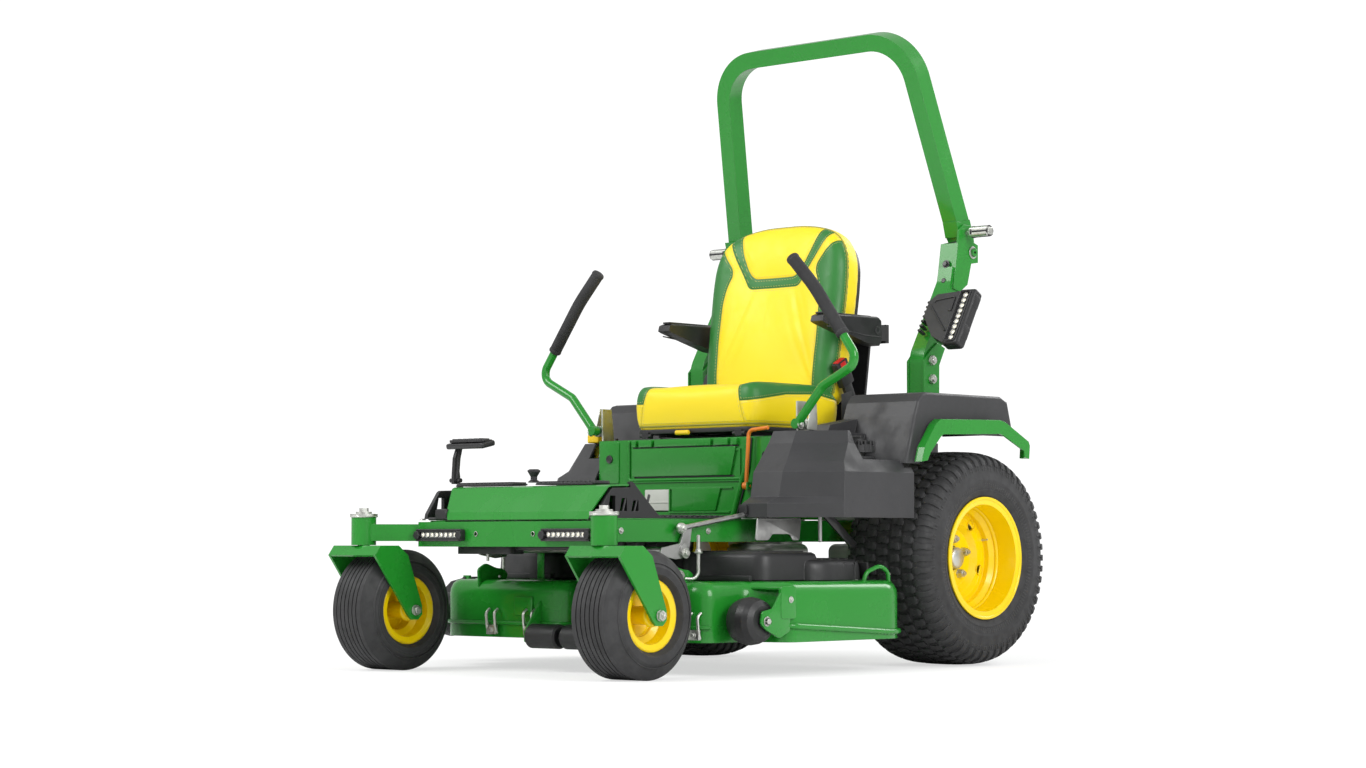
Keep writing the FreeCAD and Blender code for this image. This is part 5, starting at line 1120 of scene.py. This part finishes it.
def build_belt():
    """Seat belt: buckle on the left, reel on the right, and the webbing between them and the frame."""
    buckle = Matrix.Translation((0.262, -0.205, 0.845)) @ Matrix.Rotation(math.radians(28), 4, "X")
    reel = Matrix.Translation((-0.268, -0.15, 0.8)) @ Matrix.Rotation(math.radians(-20), 4, "X")
    case = Shape().block((-0.011, -0.026, -0.048), (0.013, 0.026, 0.028), 0.006, buckle)
    case.block((-0.006, -0.018, -0.11), (0.006, 0.018, -0.045), 0.003, buckle)
    case.block((-0.022, -0.045, -0.045), (0.02, 0.05, 0.045), 0.01, reel)
    drum = [(-0.024, 0.034), (-0.018, 0.038), (0.018, 0.038), (0.024, 0.034)]
    case.turned(drum, (-0.27, -0.15, 0.812), "x", 28)
    case.piece("belt_buckle", "seat", "black_plastic")
    button = Shape().block((-0.007, -0.019, 0.026), (0.009, 0.019, 0.031), 0.0015, buckle)
    button.block((0.0125, -0.012, 0.004), (0.0145, 0.012, 0.024), 0.001, buckle)
    button.piece("buckle_button", "seat", "red_plastic")
    web = Shape()
    for x, y, z in ((0.268, -0.19, 0.745), (-0.268, -0.15, 0.735)):
        strap = [(y - 0.022, z - 0.05), (y + 0.022, z - 0.04), (y + 0.022, z + 0.04), (y - 0.022, z + 0.03)]
        web.plate(strap, 0.004, "yz", x - 0.0012, x + 0.0012, 0.0006)
    web.piece("belt_webbing", "seat", "belt_rubber")


def build_seat_slide():
    knob = Shape().tube([(-0.052, -0.566, 0.662), (-0.006, -0.566, 0.662)], 0.007, 16)
    knob.piece("seat_slide_knob", "seat", "yellow_plastic")
    path = [(-0.03, -0.566, 0.66), (-0.03, -0.55, 0.657), (-0.03, -0.5, 0.657)]
    Shape().tube(path, 0.0032, 8, 0.01).piece("seat_slide_bar", "seat", "zinc")


build_lights()
build_panel()
build_platform()
build_pedal()
build_roll_bar()
build_levers()
build_armrests()
build_belt()
build_seat_slide()


# --- consoles and linkages ---


def build_console():
    cap = Shape().lathe([(0.024, 0), (0.024, 0.05), (0.03, 0.0505), (0.03, 0.04), (0.026, 0.038), (0.026, 0)],
                        (0.505, -0.44, 0.553))
    for spot in circle((0.505, -0.44), 0.0485, 16):
        cap.tube([(*spot, 0.6), (*spot, 0.628)], 0.0035, 6)
    cap.block((0.487, -0.446, 0.632), (0.523, -0.434, 0.643), 0.003)
    cap.piece("fuel_cap_grip", "cap", "black_plastic")
    trims = Shape().tube([(0.445, -0.3, 0.585), (0.445, -0.5, 0.585)], 0.004, 8)
    trims.plate(rectangle(0.342, 0.425, 0.368, 0.452), 0.006, "xz", -0.7465, -0.738, 0.002)
    trims.tube([(-0.512, -0.385, 0.636), (-0.512, -0.392, 0.668)], 0.0045, 8)
    knob = [(0, 0.013), (0.004, 0.015), (0.016, 0.013), (0.02, 0.006)]
    trims.turned(knob, (-0.512, -0.392, 0.662), "z", 20)
    trims.turned([(0, 0.014), (0.003, 0.015), (0.006, 0.013)], (-0.415, -0.43, 0.64), "z", 24)
    trims.block((-0.418, -0.434, 0.645), (-0.412, -0.426, 0.658), 0.001)
    trims.piece("console_trims", "chassis", "black_plastic")
    ribs = Shape().tube([(0.597, -0.26, 0.742), (0.597, -0.1, 0.756), (0.597, 0.1, 0.75)], 0.003, 8, 0.03)
    ribs.mirror().piece("fender_ribs", "chassis", "grey_plastic")


def build_linkage():
    """Lift rods, rocker bolts and the brackets below the consoles."""
    rods = Shape().tube([(0.352, -0.985, 0.388), (0.356, -0.7, 0.43), (0.356, -0.64, 0.438)], 0.0068, 12)
    rods.tube([(0.45, -0.532, 0.352), (0.45, -0.532, 0.425)], 0.0055)
    rods.mirror().piece("lift_rods", "chassis", "steel")
    eye = [(-0.008, 0.012), (-0.004, 0.0145), (0.004, 0.0145), (0.008, 0.012)]
    eyes = Shape().turned(eye, (0.352, -0.99, 0.387), "x", 20)
    eyes.bolt((0.3495, -0.972, 0.321), "x", 0.01).bolt((0.36, -0.99, 0.387), "x", 0.007)
    eyes.mirror().piece("rocker_bolts", "rockshaft", "zinc")
    cheek = [(-0.745, 0.355), (-0.69, 0.355), (-0.675, 0.372), (-0.6, 0.372), (-0.59, 0.355), (-0.56, 0.355),
             (-0.552, 0.415), (-0.735, 0.418)]
    bracket = Shape().plate(cheek, 0.008, "yz", 0.396, 0.4, 0.0008)
    bracket.block((0.34, -0.735, 0.412), (0.4, -0.555, 0.416), 0.001)
    bracket.mirror().piece("console_brackets", "chassis", "steel")
    brace = [(-0.525, 0.42), (-0.48, 0.42), (-0.38, 0.345), (-0.405, 0.335)]
    braces = Shape().plate(brace, 0.004, "yz", 0.452, 0.458, 0.0008).mirror()
    braces.piece("console_braces", "chassis", "black_paint")


def build_beam():
    """The cross beam's underside tray, and its pins and bolts."""
    tray = Shape().plate(rectangle(-0.255, -1.235, -0.045, -1.175), 0.016, "xy", 0.318, 0.338, 0.006)
    tray.tube([(-0.24, -1.205, 0.336), (0.3, -1.205, 0.336)], 0.008)
    tray.piece("beam_underside", "chassis", "black_plastic")
    pins = Shape().lathe([(0, 0.0055), (0.0015, 0.007), (0.002, 0.0055)], (0.108, -1.3, 0.372), "front", 16)
    for y in (-0.86, -1.2):
        pins.bolt((0.330165, y, 0.38), "x", 0.006)
    pins.mirror().tube([(-0.176, -1.19, 0.3), (-0.176, -1.19, 0.322)], 0.004, 8)
    pins.piece("beam_pins", "chassis", "zinc")


# --- wheels ---

CASTER_Y, CASTER_Z = -1.289, 0.165
DRIVE_Z = DRIVE_CENTRE.z


def build_drive_hubs():
    """Lug nuts, hub cap and valve, the rim's beads, and the lips of its holes."""
    nut = [(0, 0.0125), (0.002, 0.015), (0.005, 0.0125), (0.015, 0.012), (0.019, 0.0085)]
    nuts = Shape()
    for y, z in circle((0, DRIVE_Z), 0.055, 5, 90):
        nuts.turned(nut, (0.5005, y, z), "x", 6)
    nuts.turned([(0, 0.03), (0.004, 0.031), (0.018, 0.028), (0.022, 0.022)], (0.5045, 0, DRIVE_Z), "x", 28)
    nuts.tube([(0.505, 0.118, 0.355), (0.535, 0.126, 0.358)], 0.0036, 8)
    nuts.pair("lug_nuts", "drive_wheel", "zinc")
    flange = [(0.1335, 0.164), (0.1375, 0.1655), (0.14, 0.169), (0.1385, 0.1735), (0.1345, 0.174),
              (0.133, 0.169)]
    barrel = [(0.06, 0.1475), (0.064, 0.144), (0.07, 0.144), (0.073, 0.149), (0.068, 0.152)]
    step = [(0.03, 0.118), (0.034, 0.114), (0.037, 0.12), (0.034, 0.126)]
    dish = Shape().lathe(flange, DRIVE_CENTRE, "x", 72).lathe(barrel, DRIVE_CENTRE, "x", 72)
    dish.lathe(step, DRIVE_CENTRE, "x", 64).pair("rim_beads", "drive_wheel", "yellow_paint", angle=60)
    holes = Shape()
    for y, z in circle((0, DRIVE_Z), 0.112, 5, 126):
        holes.lathe([(0, 0.0135), (0, 0.0165), (0.003, 0.016), (0.003, 0.014)], (0.5165, y, z), "x", 24)
    holes.pair("rim_hole_lips", "drive_wheel", "yellow_paint", angle=60)


def build_casters():
    """Axle washers, rim beads, and the rings moulded on the tyre's walls."""
    washer = [(0, 0.0135), (0.003, 0.0145)]
    hub = Shape().turned(washer, (0.5505, CASTER_Y, CASTER_Z), "x", 28)
    hub.turned(washer, (0.3575, CASTER_Y, CASTER_Z), "inside", 28)
    hub.tube([(0.56, CASTER_Y, CASTER_Z), (0.568, CASTER_Y, CASTER_Z)], 0.006, 12)
    hub.pair("axle_washers", "caster", "zinc")
    bead = [(0.063, 0.087), (0.0665, 0.088), (0.069, 0.0905), (0.067, 0.0935), (0.064, 0.092)]
    boss = [(0.0635, 0.03), (0.068, 0.03), (0.072, 0.027), (0.072, 0.015), (0.062, 0.015)]
    lips, wall = Shape(), Shape()
    for axis in ("x", "inside"):
        lips.lathe(bead, (0.454, CASTER_Y, CASTER_Z), axis, 56).lathe(boss, (0.454, CASTER_Y, CASTER_Z), axis)
        for radius, half in ((0.118, 0.0818), (0.133, 0.079), (0.104, 0.08)):
            ring = [(half - 0.004, radius - 0.0018), (half + 0.0009, radius - 0.0008),
                    (half + 0.0009, radius + 0.0008), (half - 0.004, radius + 0.0018)]
            wall.lathe(ring, (0.4535, CASTER_Y, CASTER_Z), axis, 64)
    lips.pair("caster_rim_beads", "caster_wheel", "yellow_paint", angle=60)
    wall.pair("caster_tyre_rings", "caster_wheel", "tyre_rubber", angle=60)


def build_scalp_wheels():
    rings = Shape()
    for x in (0.532, 0.596):
        rings.lathe([(-0.004, 0.03), (-0.002, 0.046), (0.002, 0.046), (0.004, 0.03)],
                    (x, SCALP_Y, SCALP_Z), "x", 36)
    rings.pair("scalp_wheel_rings", "scalp_wheel", "black_plastic", angle=60)


# --- engine ---

FAN = (0, 0.265)
FAN_TOP = 0.7215


def build_engine():
    """Cooling fins, a screened intake, air filter, battery, oil filter and hoses at the rear."""
    fins = Shape()
    for i in range(9):
        z = 0.448 + 0.012 * i
        fins.block((0.15, 0.145, z), (0.192, 0.385, z + 0.004), 0.001)
    fins.mirror().piece("engine_fins", "chassis", "aluminium_casting")
    dress = Shape()
    for i in range(7):
        inner = 0.03 + 0.016 * i
        dress.lathe([(0, inner), (0.004, inner + 0.001), (0.004, inner + 0.006), (0, inner + 0.007)],
                    (*FAN, FAN_TOP), "z", 48)
    for start, stop in zip(circle(FAN, 0.03, 12), circle(FAN, 0.132, 12)):
        dress.tube([(*start, 0.7235), (*stop, 0.7235)], 0.0022, 6)
    dress.turned([(0, 0.026), (0.006, 0.024), (0.008, 0.012)], (*FAN, FAN_TOP))
    dress.turned([(-0.075, 0.044), (-0.068, 0.048), (0.06, 0.048), (0.068, 0.044), (0.075, 0.038)],
                 (-0.225, 0.285, 0.56), "y")
    dress.tube([(-0.225, 0.285, 0.6), (-0.215, 0.285, 0.645), (-0.16, 0.285, 0.655)], 0.022, 16, 0.04)
    dress.block((0.195, 0.215, 0.418), (0.262, 0.395, 0.56), 0.006)
    dress.block((0.2, 0.225, 0.558), (0.257, 0.385, 0.57), 0.004)
    dress.piece("engine_dress", "chassis", "black_plastic")
    can = [(0, 0), (0, 0.036), (0.006, 0.038), (0.075, 0.038), (0.084, 0.03), (0.086, 0)]
    Shape().lathe(can, (0.12, 0.425, 0.5), "y").piece("oil_filter", "chassis", "yellow_paint")
    hoses = Shape().tube([(0.14, 0.1, 0.36), (0.2, 0.16, 0.44), (0.21, 0.22, 0.52)], 0.008, 10, 0.03).mirror()
    hoses.tube([(0.228, 0.25, 0.572), (0.23, 0.2, 0.6), (0.14, 0.14, 0.6)], 0.005, 8, 0.03)
    hoses.piece("engine_hoses", "chassis", "belt_rubber")
    guard = Shape()
    for x in (-0.1, 0, 0.1):
        guard.tube([(x, 0.585, 0.575), (x, 0.59, 0.45)], 0.006, 8)
    guard.piece("muffler_guard", "chassis", "black_paint")
    posts = Shape()
    for y in (0.13, 0.39):
        posts.bolt((0.17, y, 0.4155), "z", 0.008)
    posts.mirror()
    for x in (0.212, 0.245):
        posts.turned([(0, 0.007), (0.01, 0.006)], (x, 0.245, 0.569), "z", 16)
    posts.tube([(0.06, 0.545, 0.5), (0.06, 0.6, 0.47)], 0.014, 16)
    posts.piece("engine_bolts", "chassis", "zinc")


build_console()
build_linkage()
build_beam()
build_drive_hubs()
build_casters()
build_scalp_wheels()
build_engine()


# --- room, light and camera ---

FLOOR_HALF = 60
WHITE = (1, 1, 1)
# The photo's camera, solved from the wheels.
CAMERA_PLACE = (5.491, -6.655, 0.351)
AZIMUTH, ELEVATION = math.radians(42.18), math.radians(-3.13)
SENSOR_WIDTH, LENS = 36, 76.07
# Name, place, target, size and power of each area light.
LIGHTS = (("key", (-2.5, -5.5, 5.0), (0, -0.4, 0.7), (4, 3), 300),
          ("side", (6.0, -1.5, 3.2), (0, -0.4, 0.7), (3, 3), 230),
          ("rim", (1.0, 6.0, 4.5), (0, 0, 0.8), (4, 3), 220))


def build_floor():
    """A pale floor that takes soft shadows near the mower and fades into the white background."""
    paper = Surface("studio_floor", (0.90, 0.90, 0.90), 0.7)
    paper.mix_color((0.88, 0.88, 0.88), paper.blotches(0.8, 3, 0.4, 0.7))
    paper.set("Specular IOR Level", 0.0).done()
    seen = paper.node("LightPath").outputs["Is Camera Ray"]
    distance = paper.node("VectorMath", ((0, paper.place),), operation="LENGTH").outputs["Value"]
    veil = paper.math("MULTIPLY", paper.ramp(distance, 2.2, 5.5, 0.55, 1.0), seen)
    lit = paper.node("Emission", (("Color", WHITE), ("Strength", 1.12))).outputs[0]
    mixed = paper.node("MixShader", ((0, veil), (1, paper.shader.outputs[0]), (2, lit)))
    paper.feed(paper.tree.nodes["Material Output"].inputs["Surface"], mixed.outputs[0])
    corners = rectangle(-FLOOR_HALF, -FLOOR_HALF, FLOOR_HALF, FLOOR_HALF)
    floor = new_object("floor", [(x, y, 0) for x, y in corners], [(0, 1, 2, 3)])
    floor.data.materials.append(paper.data)


def build_sky():
    """An even white sky, brighter to the camera than to the machine."""
    world = bpy.data.worlds.new("studio")
    bpy.context.scene.world = world
    world.use_nodes = True
    nodes, links = world.node_tree.nodes, world.node_tree.links
    nodes["Background"].inputs["Color"].default_value = (*WHITE, 1)
    strength = nodes.new("ShaderNodeMapRange")
    strength.inputs["To Min"].default_value = 0.62
    strength.inputs["To Max"].default_value = 1.1
    links.new(nodes.new("ShaderNodeLightPath").outputs["Is Camera Ray"], strength.inputs["Value"])
    links.new(strength.outputs[0], nodes["Background"].inputs["Strength"])


def aim(name, data, place, direction):
    """Puts a light or a camera at a place, looking in a direction."""
    obj = bpy.data.objects.new(name, data)
    link_object(obj)
    obj.location = place
    obj.rotation_euler = Vector(direction).to_track_quat("-Z", "Y").to_euler()
    return obj


def area_light(name, place, target, size, power):
    light = bpy.data.lights.new(name, "AREA")
    light.shape = "RECTANGLE"
    light.size, light.size_y = size
    light.energy = power
    aim(name, light, place, Vector(target) - Vector(place))


def build_camera():
    flat = math.cos(ELEVATION)
    ahead = (-math.sin(AZIMUTH) * flat, math.cos(AZIMUTH) * flat, -math.sin(ELEVATION))
    camera = bpy.data.cameras.new("camera")
    camera.sensor_width, camera.lens = SENSOR_WIDTH, LENS
    bpy.context.scene.camera = aim("camera", camera, CAMERA_PLACE, ahead)


build_floor()
build_sky()
for values in LIGHTS:
    area_light(*values)
build_camera()
bpy.context.scene.view_settings.view_transform = "Standard"
